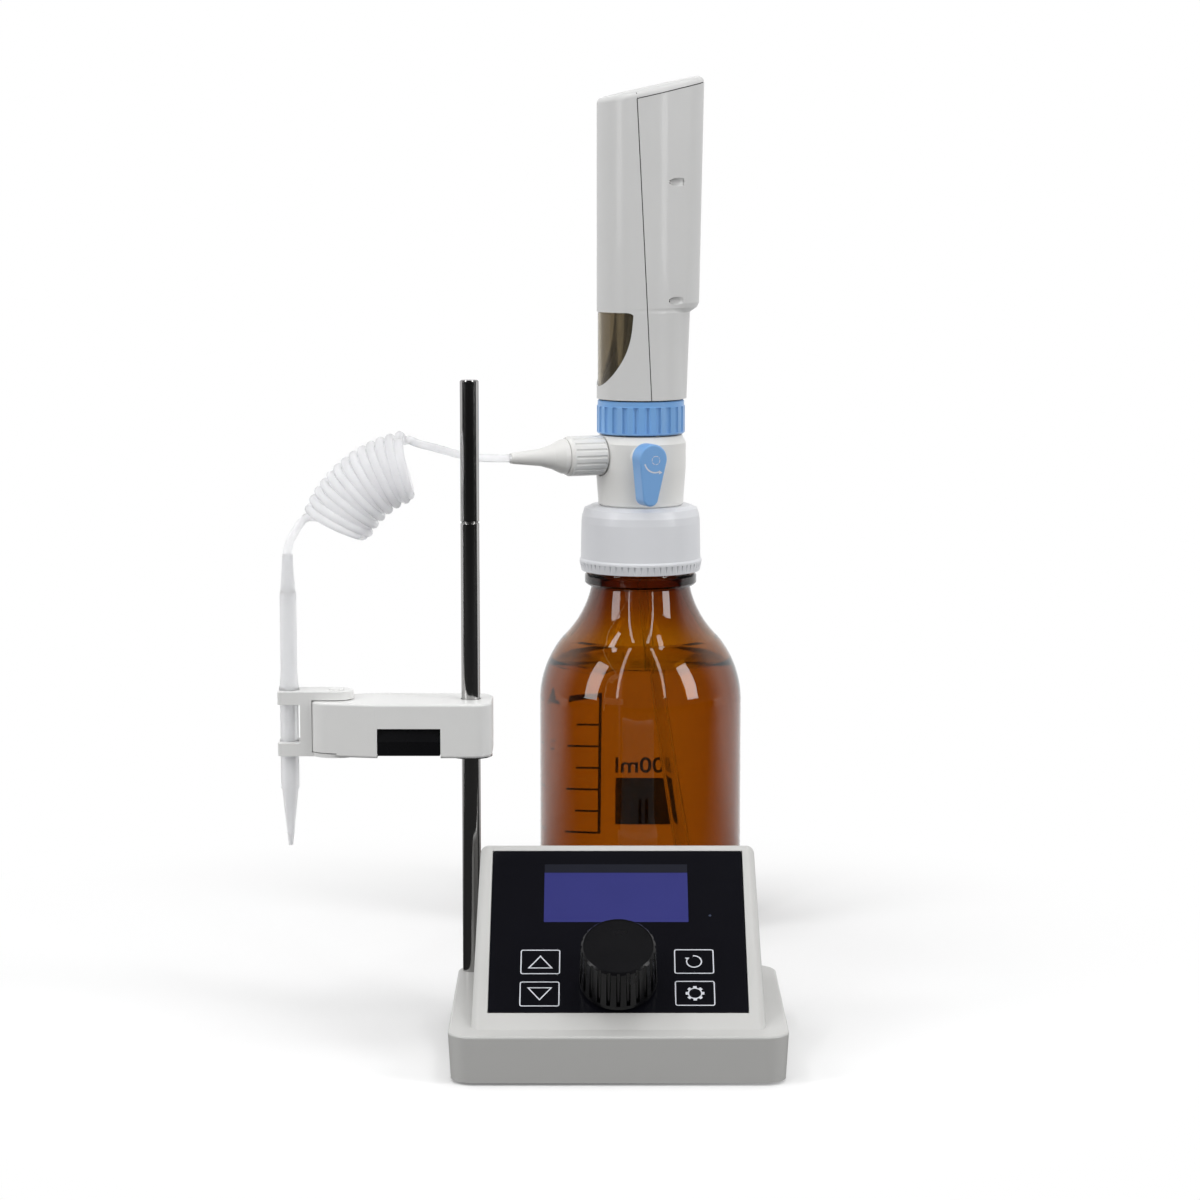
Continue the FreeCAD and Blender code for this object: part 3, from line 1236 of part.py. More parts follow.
def glass_cylinder():
    tube = ring(CYL_R, CYL_BORE_R, CYL_LOW_Z, CYL_TOP_Z)
    flange = ring(RING_INNER_R - SOFT_GAP, CYL_BORE_R, BLOCK_TOP_Z, BLOCK_TOP_Z + CYL_FLANGE_T)
    return tube.fuse(flange).removeSplitter()


def piston_seal():
    # A lip at each end of a shallow waist.
    lip = CYL_BORE_R - RUN_FIT
    waist = CYL_BORE_R - 0.8
    outline = [(0, 0), (CYL_BORE_R - 1.2, 0), (lip, 1.2), (lip, 2.6), (waist, 3.0), (waist, 4.4),
               (lip, 4.8), (lip, PISTON_H), (0, PISTON_H)]
    return revolve_points([(r, PISTON_REST_Z + z) for r, z in outline])


def piston_rod():
    return cylinder(PISTON_ROD_R, PISTON_REST_Z + PISTON_H, CARRIAGE_Z)


def carriage():
    top = CARRIAGE_Z + CARRIAGE_T
    bar = box(-CARRIAGE_EAR, SCREW_X + CARRIAGE_EAR, -CARRIAGE_EAR, CARRIAGE_EAR, CARRIAGE_Z, top)
    arm = box(GUIDE_X - CARRIAGE_EAR, GUIDE_X + CARRIAGE_EAR, -GUIDE_Y - GUIDE_R - CARRIAGE_EDGE, 0,
              CARRIAGE_Z, top)
    body = bar.fuse(arm).removeSplitter()
    body = body.cut(cylinder(SCREW_R + RUN_FIT, CARRIAGE_Z, top, SCREW_X))
    return body.cut(cylinder(GUIDE_R + RUN_FIT, CARRIAGE_Z, top, GUIDE_X, -GUIDE_Y))


def frame_plate(low):
    layer = box(-FAR, FAR, -FAR, FAR, low, low + PLATE_T)
    plate = head_form(HEAD_WALL + PART_GAP, HEAD_LOW_Z).common(layer)
    return plate.cut(cylinder(GUIDE_R + RUN_FIT, low, low + PLATE_T, GUIDE_X, -GUIDE_Y))


def lower_plate():
    plate = frame_plate(LOW_PLATE_Z)
    plate = plate.cut(cylinder(PISTON_ROD_R + SOFT_GAP, LOW_PLATE_Z, LOW_PLATE_Z + PLATE_T))
    neck = ring(CYL_R + COLLAR_WALL, CYL_R + RUN_FIT, CYL_TOP_Z - COLLAR_GRIP, LOW_PLATE_Z)
    plate = plate.fuse(neck).removeSplitter()
    return plate.cut(cylinder(SCREW_R + RUN_FIT, LOW_PLATE_Z, LOW_PLATE_Z + PLATE_T, SCREW_X))


def upper_plate():
    plate = frame_plate(HIGH_PLATE_Z)
    return plate.cut(cylinder(COUPLING_R + SOFT_GAP, HIGH_PLATE_Z, HIGH_PLATE_Z + PLATE_T, SCREW_X))


def lead_screw():
    return cylinder(SCREW_R, LOW_PLATE_Z, HIGH_PLATE_Z - COUPLING_DROP, SCREW_X)


def coupling():
    return cylinder(COUPLING_R, HIGH_PLATE_Z - COUPLING_DROP, HIGH_PLATE_Z + PLATE_T - SOFT_GAP, SCREW_X)


def guide_rod():
    return cylinder(GUIDE_R, LOW_PLATE_Z, HIGH_PLATE_Z + PLATE_T, GUIDE_X, -GUIDE_Y)


def drive_motor():
    low = HIGH_PLATE_Z + PLATE_T
    return cylinder(MOTOR_R, low, low + MOTOR_H, SCREW_X)


def driver_board():
    low = LOW_PLATE_Z + PLATE_T
    return box(-DRIVER_W / 2, DRIVER_W / 2, DRIVER_Y, DRIVER_Y + DRIVER_T, low, HIGH_PLATE_Z)


def head_nodes():
    front, rear = head_shells()
    return {
        "front_shell": front, "rear_shell": rear, "window_pane": window_pane(),
        "shell_screws": shell_screws(), "piston_seal": piston_seal(), "piston_rod": piston_rod(),
        "carriage": carriage(), "lower_frame_plate": lower_plate(), "upper_frame_plate": upper_plate(),
        "lead_screw": lead_screw(), "screw_coupling": coupling(), "guide_rod": guide_rod(),
        "drive_motor": drive_motor(), "driver_board": driver_board(),
        "glass_cylinder": glass_cylinder()}


def block_nodes():
    return {
        "valve_block": valve_block(), "inlet_seat": inlet_seat(), "inlet_ball": inlet_ball(),
        "intake_tube": intake_tube(), "return_tube": return_tube(),
        "nozzle_spigot": nozzle_spigot(), "nozzle_nut": nozzle_nut(), "nozzle_cone": nozzle_cone(),
        "valve_plug": valve_plug(), "valve_lever": valve_lever(), "union_ring": union_ring()}


def stand_nodes():
    return {
        "base_tray": base_tray(), "base_cover": base_cover(), "base_screws": base_screws(),
        "base_feet": base_feet(), "ballast_plate": ballast_plate(), "console_shell": console_shell(),
        "touch_panel": touch_panel(), "status_led": status_led(), "display_module": display_module(),
        "control_board": control_board(), "encoder_body": encoder_body(),
        "encoder_plunger": encoder_plunger(), "control_knob": control_knob(), "knob_cap": knob_cap(),
        "rear_sockets": Part.makeCompound([inlet_socket(x) for x in (INLET_X, LINK_X)]),
        "rod_screw": rod_screw(), "rod_lower": rod_lower(), "rod_upper": rod_upper()}


def arm_nodes():
    return {
        "clamp_bush": clamp_bush(), "arm_body": arm_body(), "release_button": release_button(),
        "button_springs": button_springs(), "tip_yoke": tip_yoke(), "yoke_pin": yoke_pin(),
        "tip_sleeve": tip_sleeve(), "titration_tip": titration_tip(),
        "tube_boot": tube_boot(), "tube_run": tube_along(RUN_ROUTE),
        "tube_lead": tube_along(short_start(LEAD_ROUTE)), "tube_coil": tube_coil(),
        "tube_drop": tube_along(short_start(DROP_ROUTE))}


def bottle_nodes():
    return {"bottle": bottle(), "bottle_cap": bottle_cap(), "cap_seal": cap_seal()}


def all_nodes():
    nodes = {}
    for group in (stand_nodes(), arm_nodes(), bottle_nodes()):
        nodes.update(group)
    for name, shape in block_nodes().items():
        nodes[name] = turned(shape, BLOCK_TURN_DEG)
    for name, shape in head_nodes().items():
        nodes[name] = turned(shape, HEAD_TURN_DEG)
    return nodes


def main():
    os.makedirs("parts", exist_ok=True)
    for name, shape in all_nodes().items():
        shape.translate(V(-ORIGIN_X, -ORIGIN_Y, 0))
        count = len(shape.Solids)
        ok = shape.isValid() and count > 0 and all(s.Volume > 0 for s in shape.Solids)
        print(name, count, round(shape.Volume, 1), "ok" if ok else "BAD")
        shape.exportStep("parts/" + name + ".step")


if __name__ == "__main__":
    main()
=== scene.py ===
import json
import math

import bmesh
import bpy
from mathutils import Matrix, Vector


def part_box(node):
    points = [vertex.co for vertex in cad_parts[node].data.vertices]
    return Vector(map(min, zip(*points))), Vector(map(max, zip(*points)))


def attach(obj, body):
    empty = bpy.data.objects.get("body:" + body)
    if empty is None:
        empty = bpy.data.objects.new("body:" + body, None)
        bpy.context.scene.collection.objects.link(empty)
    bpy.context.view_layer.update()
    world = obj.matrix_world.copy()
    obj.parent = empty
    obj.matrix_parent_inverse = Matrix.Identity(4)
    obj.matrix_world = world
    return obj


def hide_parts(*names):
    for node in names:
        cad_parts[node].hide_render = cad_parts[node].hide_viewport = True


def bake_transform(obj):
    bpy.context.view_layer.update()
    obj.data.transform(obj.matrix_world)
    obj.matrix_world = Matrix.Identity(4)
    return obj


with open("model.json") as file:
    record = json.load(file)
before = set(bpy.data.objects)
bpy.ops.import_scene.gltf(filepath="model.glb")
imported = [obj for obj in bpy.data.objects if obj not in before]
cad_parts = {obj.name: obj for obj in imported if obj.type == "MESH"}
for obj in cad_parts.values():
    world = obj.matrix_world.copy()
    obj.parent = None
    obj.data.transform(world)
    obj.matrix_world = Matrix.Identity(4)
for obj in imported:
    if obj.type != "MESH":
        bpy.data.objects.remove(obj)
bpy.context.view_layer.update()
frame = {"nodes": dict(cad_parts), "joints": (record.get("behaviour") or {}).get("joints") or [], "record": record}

# Electronic bottle-top burette. Metres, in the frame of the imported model:
# x to the right, y to the back, z up from the bench.

MM = 0.001
TAU = 2 * math.pi


# Places read from the frame

def joint(name):
    return next(j for j in frame["joints"] if j["name"] == name)


def middle(node):
    low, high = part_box(node)
    return (low + high) / 2


TRAY_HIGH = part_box("base_tray")[1]
ROD_AXIS = middle("rod_lower")
ROD_X, ROD_Y = -55.0, 95.2
BENCH_MID_X = ROD_AXIS.x - ROD_X * MM
BENCH_FRONT_Y = ROD_AXIS.y - ROD_Y * MM
BOTTLE_AXIS = middle("bottle")
BOTTLE_LOW, BOTTLE_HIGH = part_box("bottle")


def layout(x, y, z):
    # From millimetres counted from the control unit's front middle.
    return Vector((BENCH_MID_X + x * MM, BENCH_FRONT_Y + y * MM, z * MM))


# Camera at the photograph's angle

CAMERA_SIDE = -6.5
CAMERA_BACK = -1091.0
CAMERA_HIGH = 318.0
CAMERA_DOWN_DEG = 7.6
LENS = 96.0


def make_camera():
    data = bpy.data.cameras.new("camera")
    data.lens = LENS
    data.sensor_width = 36.0
    data.clip_start = 0.05
    data.clip_end = 40.0
    camera = bpy.data.objects.new("camera", data)
    camera.location = layout(CAMERA_SIDE, CAMERA_BACK, CAMERA_HIGH)
    camera.rotation_euler = (math.radians(90 - CAMERA_DOWN_DEG), 0, 0)
    bpy.context.scene.collection.objects.link(camera)
    bpy.context.scene.camera = camera


make_camera()


# Node helpers

def add(tree, kind, **settings):
    node = tree.nodes.new(kind)
    for name, value in settings.items():
        if name in node.bl_rna.properties:
            setattr(node, name, value)
        else:
            node.inputs[name.replace("_", " ")].default_value = value
    return node


def join(tree, out, into):
    tree.links.new(out, into)


def new_group(name, inputs, outputs):
    tree = bpy.data.node_groups.new(name, "ShaderNodeTree")
    for label, kind, value in inputs:
        socket = tree.interface.new_socket(name=label, in_out="INPUT", socket_type=kind)
        socket.default_value = value
    for label, kind in outputs:
        tree.interface.new_socket(name=label, in_out="OUTPUT", socket_type=kind)
    return tree, add(tree, "NodeGroupInput"), add(tree, "NodeGroupOutput")


FLOAT, COLOUR, VECTOR = "NodeSocketFloat", "NodeSocketColor", "NodeSocketVector"


def build_moulded_group():
    # Moulded plastic: faint cloudy tint, fine skin grain, uneven gloss.
    tree, take, give = new_group("moulded_skin", [
        ("Colour", COLOUR, (1, 1, 1, 1)), ("Shade", COLOUR, (1, 1, 1, 1)),
        ("Patch Scale", FLOAT, 30.0), ("Grain Scale", FLOAT, 2500.0), ("Grain Depth", FLOAT, 0.1),
        ("Roughness", FLOAT, 0.4), ("Spread", FLOAT, 0.08)],
        [("Colour", COLOUR), ("Roughness", FLOAT), ("Normal", VECTOR)])
    place = add(tree, "ShaderNodeTexCoord")
    cloud = add(tree, "ShaderNodeTexNoise", Detail=4.0, Roughness=0.6)
    join(tree, place.outputs["Object"], cloud.inputs["Vector"])
    join(tree, take.outputs["Patch Scale"], cloud.inputs["Scale"])
    tint = add(tree, "ShaderNodeMix", data_type="RGBA")
    join(tree, cloud.outputs["Fac"], tint.inputs["Factor"])
    join(tree, take.outputs["Colour"], tint.inputs["A"])
    join(tree, take.outputs["Shade"], tint.inputs["B"])
    join(tree, tint.outputs["Result"], give.inputs["Colour"])
    smear = add(tree, "ShaderNodeTexNoise", Scale=90.0, Detail=3.0)
    join(tree, place.outputs["Object"], smear.inputs["Vector"])
    swing = add(tree, "ShaderNodeMath", operation="SUBTRACT")
    swing.inputs[1].default_value = 0.5
    join(tree, smear.outputs["Fac"], swing.inputs[0])
    gloss = add(tree, "ShaderNodeMath", operation="MULTIPLY_ADD")
    join(tree, swing.outputs[0], gloss.inputs[0])
    join(tree, take.outputs["Spread"], gloss.inputs[1])
    join(tree, take.outputs["Roughness"], gloss.inputs[2])
    join(tree, gloss.outputs[0], give.inputs["Roughness"])
    grain = add(tree, "ShaderNodeTexNoise", Detail=2.0)
    join(tree, place.outputs["Object"], grain.inputs["Vector"])
    join(tree, take.outputs["Grain Scale"], grain.inputs["Scale"])
    height = add(tree, "ShaderNodeMath", operation="MULTIPLY")
    join(tree, grain.outputs["Fac"], height.inputs[0])
    join(tree, take.outputs["Grain Depth"], height.inputs[1])
    bump = add(tree, "ShaderNodeBump", Strength=0.35, Distance=0.0001)
    join(tree, height.outputs[0], bump.inputs["Height"])
    join(tree, bump.outputs["Normal"], give.inputs["Normal"])
    return tree


def build_drawn_group():
    # Drawn or turned metal: fine streaks along z and a slow change of polish.
    tree, take, give = new_group("drawn_metal", [
        ("Colour", COLOUR, (1, 1, 1, 1)), ("Shade", COLOUR, (1, 1, 1, 1)),
        ("Streak Scale", FLOAT, 1200.0), ("Depth", FLOAT, 0.2), ("Roughness", FLOAT, 0.15),
        ("Spread", FLOAT, 0.1)],
        [("Colour", COLOUR), ("Roughness", FLOAT), ("Normal", VECTOR)])
    place = add(tree, "ShaderNodeTexCoord")
    stretch = add(tree, "ShaderNodeMapping")
    stretch.inputs["Scale"].default_value = (1, 1, 0.02)
    join(tree, place.outputs["Object"], stretch.inputs["Vector"])
    streak = add(tree, "ShaderNodeTexNoise", Detail=3.0)
    join(tree, stretch.outputs["Vector"], streak.inputs["Vector"])
    join(tree, take.outputs["Streak Scale"], streak.inputs["Scale"])
    tint = add(tree, "ShaderNodeMix", data_type="RGBA")
    join(tree, streak.outputs["Fac"], tint.inputs["Factor"])
    join(tree, take.outputs["Colour"], tint.inputs["A"])
    join(tree, take.outputs["Shade"], tint.inputs["B"])
    join(tree, tint.outputs["Result"], give.inputs["Colour"])
    gloss = add(tree, "ShaderNodeMath", operation="MULTIPLY_ADD")
    join(tree, streak.outputs["Fac"], gloss.inputs[0])
    join(tree, take.outputs["Spread"], gloss.inputs[1])
    join(tree, take.outputs["Roughness"], gloss.inputs[2])
    join(tree, gloss.outputs[0], give.inputs["Roughness"])
    height = add(tree, "ShaderNodeMath", operation="MULTIPLY")
    join(tree, streak.outputs["Fac"], height.inputs[0])
    join(tree, take.outputs["Depth"], height.inputs[1])
    bump = add(tree, "ShaderNodeBump", Strength=0.2, Distance=0.00005)
    join(tree, height.outputs[0], bump.inputs["Height"])
    join(tree, bump.outputs["Normal"], give.inputs["Normal"])
    return tree


MOULDED = build_moulded_group()
DRAWN = build_drawn_group()


def new_material(name, group, shader, **values):
    material = bpy.data.materials.new(name)
    material.use_nodes = True
    tree = material.node_tree
    principled = tree.nodes["Principled BSDF"]
    for label, value in shader.items():
        principled.inputs[label].default_value = value
    skin = add(tree, "ShaderNodeGroup", node_tree=group)
    for label, value in values.items():
        skin.inputs[label.replace("_", " ")].default_value = value
    join(tree, skin.outputs["Colour"], principled.inputs["Base Color"])
    join(tree, skin.outputs["Roughness"], principled.inputs["Roughness"])
    join(tree, skin.outputs["Normal"], principled.inputs["Normal"])
    return material


def rgb(r, g, b):
    return (r, g, b, 1.0)


def soak(material, colour, density):
    # Glass coloured through its thickness, so thick walls are darker.
    tree = material.node_tree
    depth = add(tree, "ShaderNodeVolumeAbsorption", Color=rgb(*colour), Density=density)
    join(tree, depth.outputs["Volume"], tree.nodes["Material Output"].inputs["Volume"])


MATERIALS = {}


def look(name, colour, shade, roughness, shader=None, group=MOULDED, **values):
    # The skin's two tints and its gloss; shader holds further values of the material itself.
    MATERIALS[name] = new_material(name, group, shader or {}, Colour=rgb(*colour),
                                   Shade=rgb(*shade), Roughness=roughness, **values)


def make_materials():
    look("white_housing", (0.67, 0.67, 0.665), (0.63, 0.63, 0.625), 0.42, {"Coat Weight": 0.15},
         Grain_Depth=0.5)
    # A darker copy of the housing white for the tray and console: painted shade.
    look("unit_white_painted_shade", (0.575, 0.573, 0.56), (0.54, 0.538, 0.525), 0.42, {"Coat Weight": 0.15},
         Grain_Depth=0.5)
    # A lighter copy of the housing white for the arm and its yoke: painted light.
    look("arm_white_painted_light", (0.83, 0.83, 0.82), (0.79, 0.79, 0.78), 0.42, {"Coat Weight": 0.15},
         Grain_Depth=0.5)
    # Painted shade: near-black lining for the grooves of the head's parting lines.
    look("line_shade", (0.06, 0.06, 0.06), (0.05, 0.05, 0.05), 0.8, {"Specular IOR Level": 0.1},
         Grain_Depth=0.0)
    look("cap_white", (0.78, 0.79, 0.82), (0.75, 0.76, 0.79), 0.38, {"Coat Weight": 0.1},
         Grain_Depth=0.2)
    look("valve_white", (0.80, 0.795, 0.775), (0.76, 0.755, 0.735), 0.36, {"Coat Weight": 0.15},
         Grain_Depth=0.2)
    look("blue_plastic", (0.20, 0.42, 0.77), (0.18, 0.39, 0.73), 0.38, {"Coat Weight": 0.1},
         Grain_Depth=0.2)
    look("seal_white", (0.82, 0.82, 0.80), (0.76, 0.76, 0.74), 0.3, Grain_Depth=0.1)
    look("ceramic_ball", (0.85, 0.82, 0.76), (0.80, 0.77, 0.70), 0.12, Grain_Depth=0.0)
    look("grey_cover", (0.12, 0.125, 0.13), (0.10, 0.10, 0.105), 0.5, Grain_Depth=0.8)
    look("rubber_black", (0.02, 0.02, 0.02), (0.035, 0.035, 0.035), 0.75, Grain_Depth=0.8)
    look("knob_black", (0.004, 0.004, 0.005), (0.007, 0.007, 0.008), 0.26,
         {"Specular IOR Level": 0.22}, Grain_Depth=0.2)
    look("panel_black", (0.004, 0.004, 0.006), (0.006, 0.006, 0.009), 0.16,
         {"Specular IOR Level": 0.2}, Spread=0.06, Grain_Depth=0.0)
    look("display_blue", (0.035, 0.038, 0.19), (0.030, 0.032, 0.16), 0.2,
         {"Specular IOR Level": 0.35}, Grain_Depth=0.0)
    look("board_green", (0.02, 0.12, 0.05), (0.015, 0.09, 0.04), 0.4, Grain_Depth=0.4)
    look("led_lens", (0.05, 0.06, 0.10), (0.04, 0.05, 0.08), 0.15, {"Coat Weight": 0.5},
         Grain_Depth=0.0)
    look("cast_weight", (0.10, 0.10, 0.11), (0.06, 0.06, 0.065), 0.6, {"Metallic": 0.6},
         Grain_Depth=2.0)
    look("steel", (0.46, 0.455, 0.45), (0.38, 0.375, 0.37), 0.08,
         {"Metallic": 1.0, "Specular Tint": rgb(0.6, 0.6, 0.6)}, group=DRAWN, Spread=0.08)
    look("aluminium_frame", (0.70, 0.71, 0.72), (0.60, 0.61, 0.62), 0.28, {"Metallic": 1.0},
         group=DRAWN, Spread=0.15)
    look("clear_plastic", (0.99, 0.99, 1.0), (0.97, 0.975, 0.985), 0.4,
         {"Transmission Weight": 0.6, "IOR": 1.2}, Grain_Depth=0.0)
    look("tube_milky", (0.99, 0.99, 1.0), (0.98, 0.98, 0.99), 0.5,
         {"Transmission Weight": 0.75, "IOR": 1.12}, Grain_Depth=0.0)
    look("clear_pipe", (0.97, 0.97, 0.96), (0.94, 0.95, 0.94), 0.08,
         {"Transmission Weight": 1.0, "IOR": 1.4}, Spread=0.02, Grain_Depth=0.0)
    look("smoked_window", (0.40, 0.35, 0.26), (0.35, 0.30, 0.22), 0.06,
         {"Transmission Weight": 0.9, "IOR": 1.3}, Spread=0.03, Grain_Depth=0.0)
    look("clear_glass", (0.95, 0.97, 0.97), (0.92, 0.95, 0.95), 0.02,
         {"Transmission Weight": 1.0, "IOR": 1.47}, Spread=0.01, Grain_Depth=0.0)
    look("amber_glass", (0.92, 0.72, 0.40), (0.90, 0.68, 0.36), 0.02,
         {"Transmission Weight": 1.0, "IOR": 1.5}, Spread=0.015, Grain_Depth=0.15,
         Grain_Scale=120.0)
    look("reagent", (0.98, 0.84, 0.42), (0.96, 0.82, 0.38), 0.01,
         {"Transmission Weight": 1.0, "IOR": 1.33}, Spread=0.0, Grain_Depth=0.0)
    look("print_dark", (0.03, 0.012, 0.004), (0.05, 0.022, 0.008), 0.6, Grain_Depth=0.3)
    look("print_white", (0.75, 0.77, 0.82), (0.62, 0.64, 0.70), 0.5, Grain_Depth=0.2)
    look("display_bar", (0.016, 0.017, 0.026), (0.012, 0.013, 0.02), 0.2,
         {"Specular IOR Level": 0.35}, Grain_Depth=0.0)
    soak(MATERIALS["amber_glass"], (0.76, 0.61, 0.0), 1000.0)


make_materials()


# The tray and console wear the darker copy of the housing white, painted shade; the arm, yoke and pin the lighter
# copy, painted light.
NODE_LOOKS = {"base_tray": "unit_white_painted_shade", "console_shell": "unit_white_painted_shade", "arm_body": "arm_white_painted_light",
              "tip_yoke": "arm_white_painted_light", "yoke_pin": "arm_white_painted_light", "intake_tube": "clear_pipe"}


def dress_cad_nodes():
    for entry in frame["record"]["subparts"]:
        node = frame["nodes"][entry["node"]]
        node.data.materials.clear()
        node.data.materials.append(MATERIALS[NODE_LOOKS.get(entry["node"], entry["material_slot"])])


dress_cad_nodes()


# Mesh helpers

def to_piece(bm, name, material, body, smooth=True):
    mesh = bpy.data.meshes.new(name)
    bm.to_mesh(mesh)
    bm.free()
    return finish_piece(mesh, name, material, body, smooth)


def finish_piece(mesh, name, material, body, smooth=True):
    mesh.polygons.foreach_set("use_smooth", [smooth] * len(mesh.polygons))
    mesh.materials.clear()
    mesh.materials.append(MATERIALS[material])
    piece = bpy.data.objects.new(name, mesh)
    bpy.context.scene.collection.objects.link(piece)
    if body:
        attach(piece, body)
    return piece


def moved(bm, matrix):
    bmesh.ops.transform(bm, matrix=matrix, verts=bm.verts)
    return bm


def add_into(target, bm):
    scratch = bpy.data.meshes.new("scratch")
    bm.to_mesh(scratch)
    bm.free()
    target.from_mesh(scratch)
    bpy.data.meshes.remove(scratch)


def curve_mesh(curve):
    # The curve's evaluated mesh; the curve itself is used up.
    holder = bpy.data.objects.new(curve.name, curve)
    bpy.context.scene.collection.objects.link(holder)
    bpy.context.view_layer.update()
    shape = holder.evaluated_get(bpy.context.evaluated_depsgraph_get())
    mesh = bpy.data.meshes.new_from_object(shape)
    bpy.data.objects.remove(holder)
    bpy.data.curves.remove(curve)
    return mesh


# Outlet tube: its routes in millimetres, as layout takes them

TUBE_R = 1.6
NOZZLE_END = (-43.879, 239.79, 200.0)
RUN_ROUTE = [NOZZLE_END, (-55.0, 235.0, 200.2), (-64.0, 222.0, 203.0), (-70.0, 204.0, 206.5),
             (-73.5, 184.0, 209.5)]
LEAD_ROUTE = [(-73.5, 184.0, 209.5), (-76.0, 166.0, 211.8), (-78.2, 147.0, 214.4),
              (-79.4, 128.0, 217.2)]
DROP_ROUTE = [(-117.0, 99.1, 190.4), (-119.4, 98.2, 186.9), (-121.9, 96.6, 182.9),
              (-123.0, 95.4, 179.4), (-123.2, 95.2, 177.0)]
COIL_CENTRE = (-70.8, 99.5, 173.3)
COIL_ARC_R = 37.3
COIL_TURN_R = 11.9
COIL_FROM_DEG = 102.5
COIL_SPAN_DEG = 57.0
COIL_TURNS = 13
POINTS_A_TURN = 14
NEST = 1.5
WOBBLE = 0.25
WOBBLE_RATE = 2.7
LEAD_JOINS_AT = -0.12
COIL_STARTS_AT = 0.1
COIL_ENDS_BEFORE = 0.6
DROP_LEAVES_BEFORE = 0.12


def coil_point(turns_done, total):
    # Turns alternate in and out on the crowded inner side of the bend, so none lies in another.
    share = turns_done / total
    arc = math.radians(COIL_FROM_DEG + COIL_SPAN_DEG * share)
    spin = TAU * turns_done
    side = 1 if int(turns_done) % 2 else -1
    inner = (1 - math.cos(spin)) / 2
    wobble = WOBBLE * math.sin(WOBBLE_RATE * turns_done)
    reach = COIL_TURN_R + side * NEST / 2 * inner + wobble * inner
    out = COIL_ARC_R + reach * math.cos(spin)
    return (COIL_CENTRE[0] + out * math.cos(arc), COIL_CENTRE[1] - reach * math.sin(spin),
            COIL_CENTRE[2] + out * math.sin(arc))


def coil_points(first, last):
    steps = round((last - first) * POINTS_A_TURN)
    return [coil_point(first + (last - first) * i / steps, COIL_TURNS) for i in range(steps + 1)]


def spline_mesh(points, bevel):
    curve = bpy.data.curves.new("route", "CURVE")
    curve.dimensions = "3D"
    curve.bevel_depth = bevel
    curve.bevel_resolution = 4
    curve.use_fill_caps = bevel > 0
    spline = curve.splines.new("NURBS")
    spline.points.add(len(points) - 1)
    for target, point in zip(spline.points, points):
        target.co = (*layout(*point), 1.0)
    spline.order_u = 3
    spline.use_endpoint_u = True
    spline.resolution_u = 6
    return curve_mesh(curve)


def outlet_tube(name, points, body, node, blend_to=None):
    line = spline_mesh(points, 0)
    bpy.data.meshes.remove(line)
    tube = finish_piece(spline_mesh(points, TUBE_R * MM), name, "tube_milky",
                        None if blend_to else body)
    if blend_to:
        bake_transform(tube)
    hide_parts(node)


def make_outlet_tubes():
    coil_last = COIL_TURNS - COIL_ENDS_BEFORE
    lead = LEAD_ROUTE + coil_points(LEAD_JOINS_AT, COIL_STARTS_AT)
    outlet_tube("outlet_tube_run", RUN_ROUTE, "root", "tube_run", blend_to="clamp")
    outlet_tube("outlet_tube_lead", lead, "clamp", "tube_lead", blend_to="arm")
    outlet_tube("outlet_tube_coil", coil_points(COIL_STARTS_AT, coil_last), "arm", "tube_coil")
    last = coil_points(coil_last, COIL_TURNS - DROP_LEAVES_BEFORE)
    outlet_tube("outlet_tube_drop", last + DROP_ROUTE, "arm", "tube_drop", blend_to="holder")


make_outlet_tubes()


# Reagent in the bottle

GLASS_WALL = 2.6
PUNT = 3.0
BODY_Z = 96.0
LEVEL_Z = 112.5
SHOULDER_DROP = 2.7
SHOULDER_RISE = 13.5
SHOULDER_STEPS = 6
FOOT_CORNER = 5.6
CORNER_SHARE = 0.3
INTO_GLASS = 0.2
MENISCUS_W = 1.0
MENISCUS_H = 0.5


def make_reagent():
    # Outline of the glass's inner side up to the level, turned round the bottle's axis.
    r = (BOTTLE_HIGH.x - BOTTLE_LOW.x) / 2 / MM - GLASS_WALL + INTO_GLASS
    low = GLASS_WALL + PUNT - INTO_GLASS
    corner = FOOT_CORNER
    drop = SHOULDER_DROP * ((LEVEL_Z - BODY_Z) / SHOULDER_RISE) ** 2
    shares = [i / SHOULDER_STEPS for i in range(SHOULDER_STEPS + 1)]
    cut = CORNER_SHARE * corner
    outline = [(0, low), (r - corner, low), (r - cut, low + cut), (r, low + corner)]
    outline += [(r - drop * share ** 2, BODY_Z + share * (LEVEL_Z - BODY_Z)) for share in shares]
    outline += [(r - drop - MENISCUS_W, LEVEL_Z - MENISCUS_H), (0, LEVEL_Z - MENISCUS_H)]
    bm = bmesh.new()
    rail = [bm.verts.new((x * MM, 0, z * MM)) for x, z in outline]
    for a, b in zip(rail, rail[1:]):
        bm.edges.new((a, b))
    bmesh.ops.spin(bm, geom=bm.edges[:] + bm.verts[:], cent=(0, 0, 0), axis=(0, 0, 1), angle=TAU,
                   steps=96, use_merge=True)
    bmesh.ops.remove_doubles(bm, verts=bm.verts, dist=1e-6)
    bmesh.ops.recalc_face_normals(bm, faces=bm.faces)
    moved(bm, Matrix.Translation((BOTTLE_AXIS.x, BOTTLE_AXIS.y, 0)))
    to_piece(bm, "reagent", "reagent", "root")


make_reagent()


# Plain graduations on the bottle's far side, seen through it mirrored

PRINT_R = 43.05
SCALE_AT_DEG = -12.0
SCALE_LOW_Z = 35.5
SCALE_STEP = 8.8
SCALE_COUNT = 7
SCALE_LINE = 0.85
UPRIGHT_DEG = 0.9
LONG_MARK_DEG = 8.4
SHORT_MARK_DEG = 6.3
NUMBER_H = 4.5
NUMBER_PAST_DEG = 5.5
NUMBER_DROP = 2.2
VOLUME_H = 6.3
VOLUME_AT = (2.4, 60.2)
VOLUME_WIDTH = 0.66
PATCH_DEG = (-6.8, 11.0)
PATCH_Z = (39.0, 58.0)


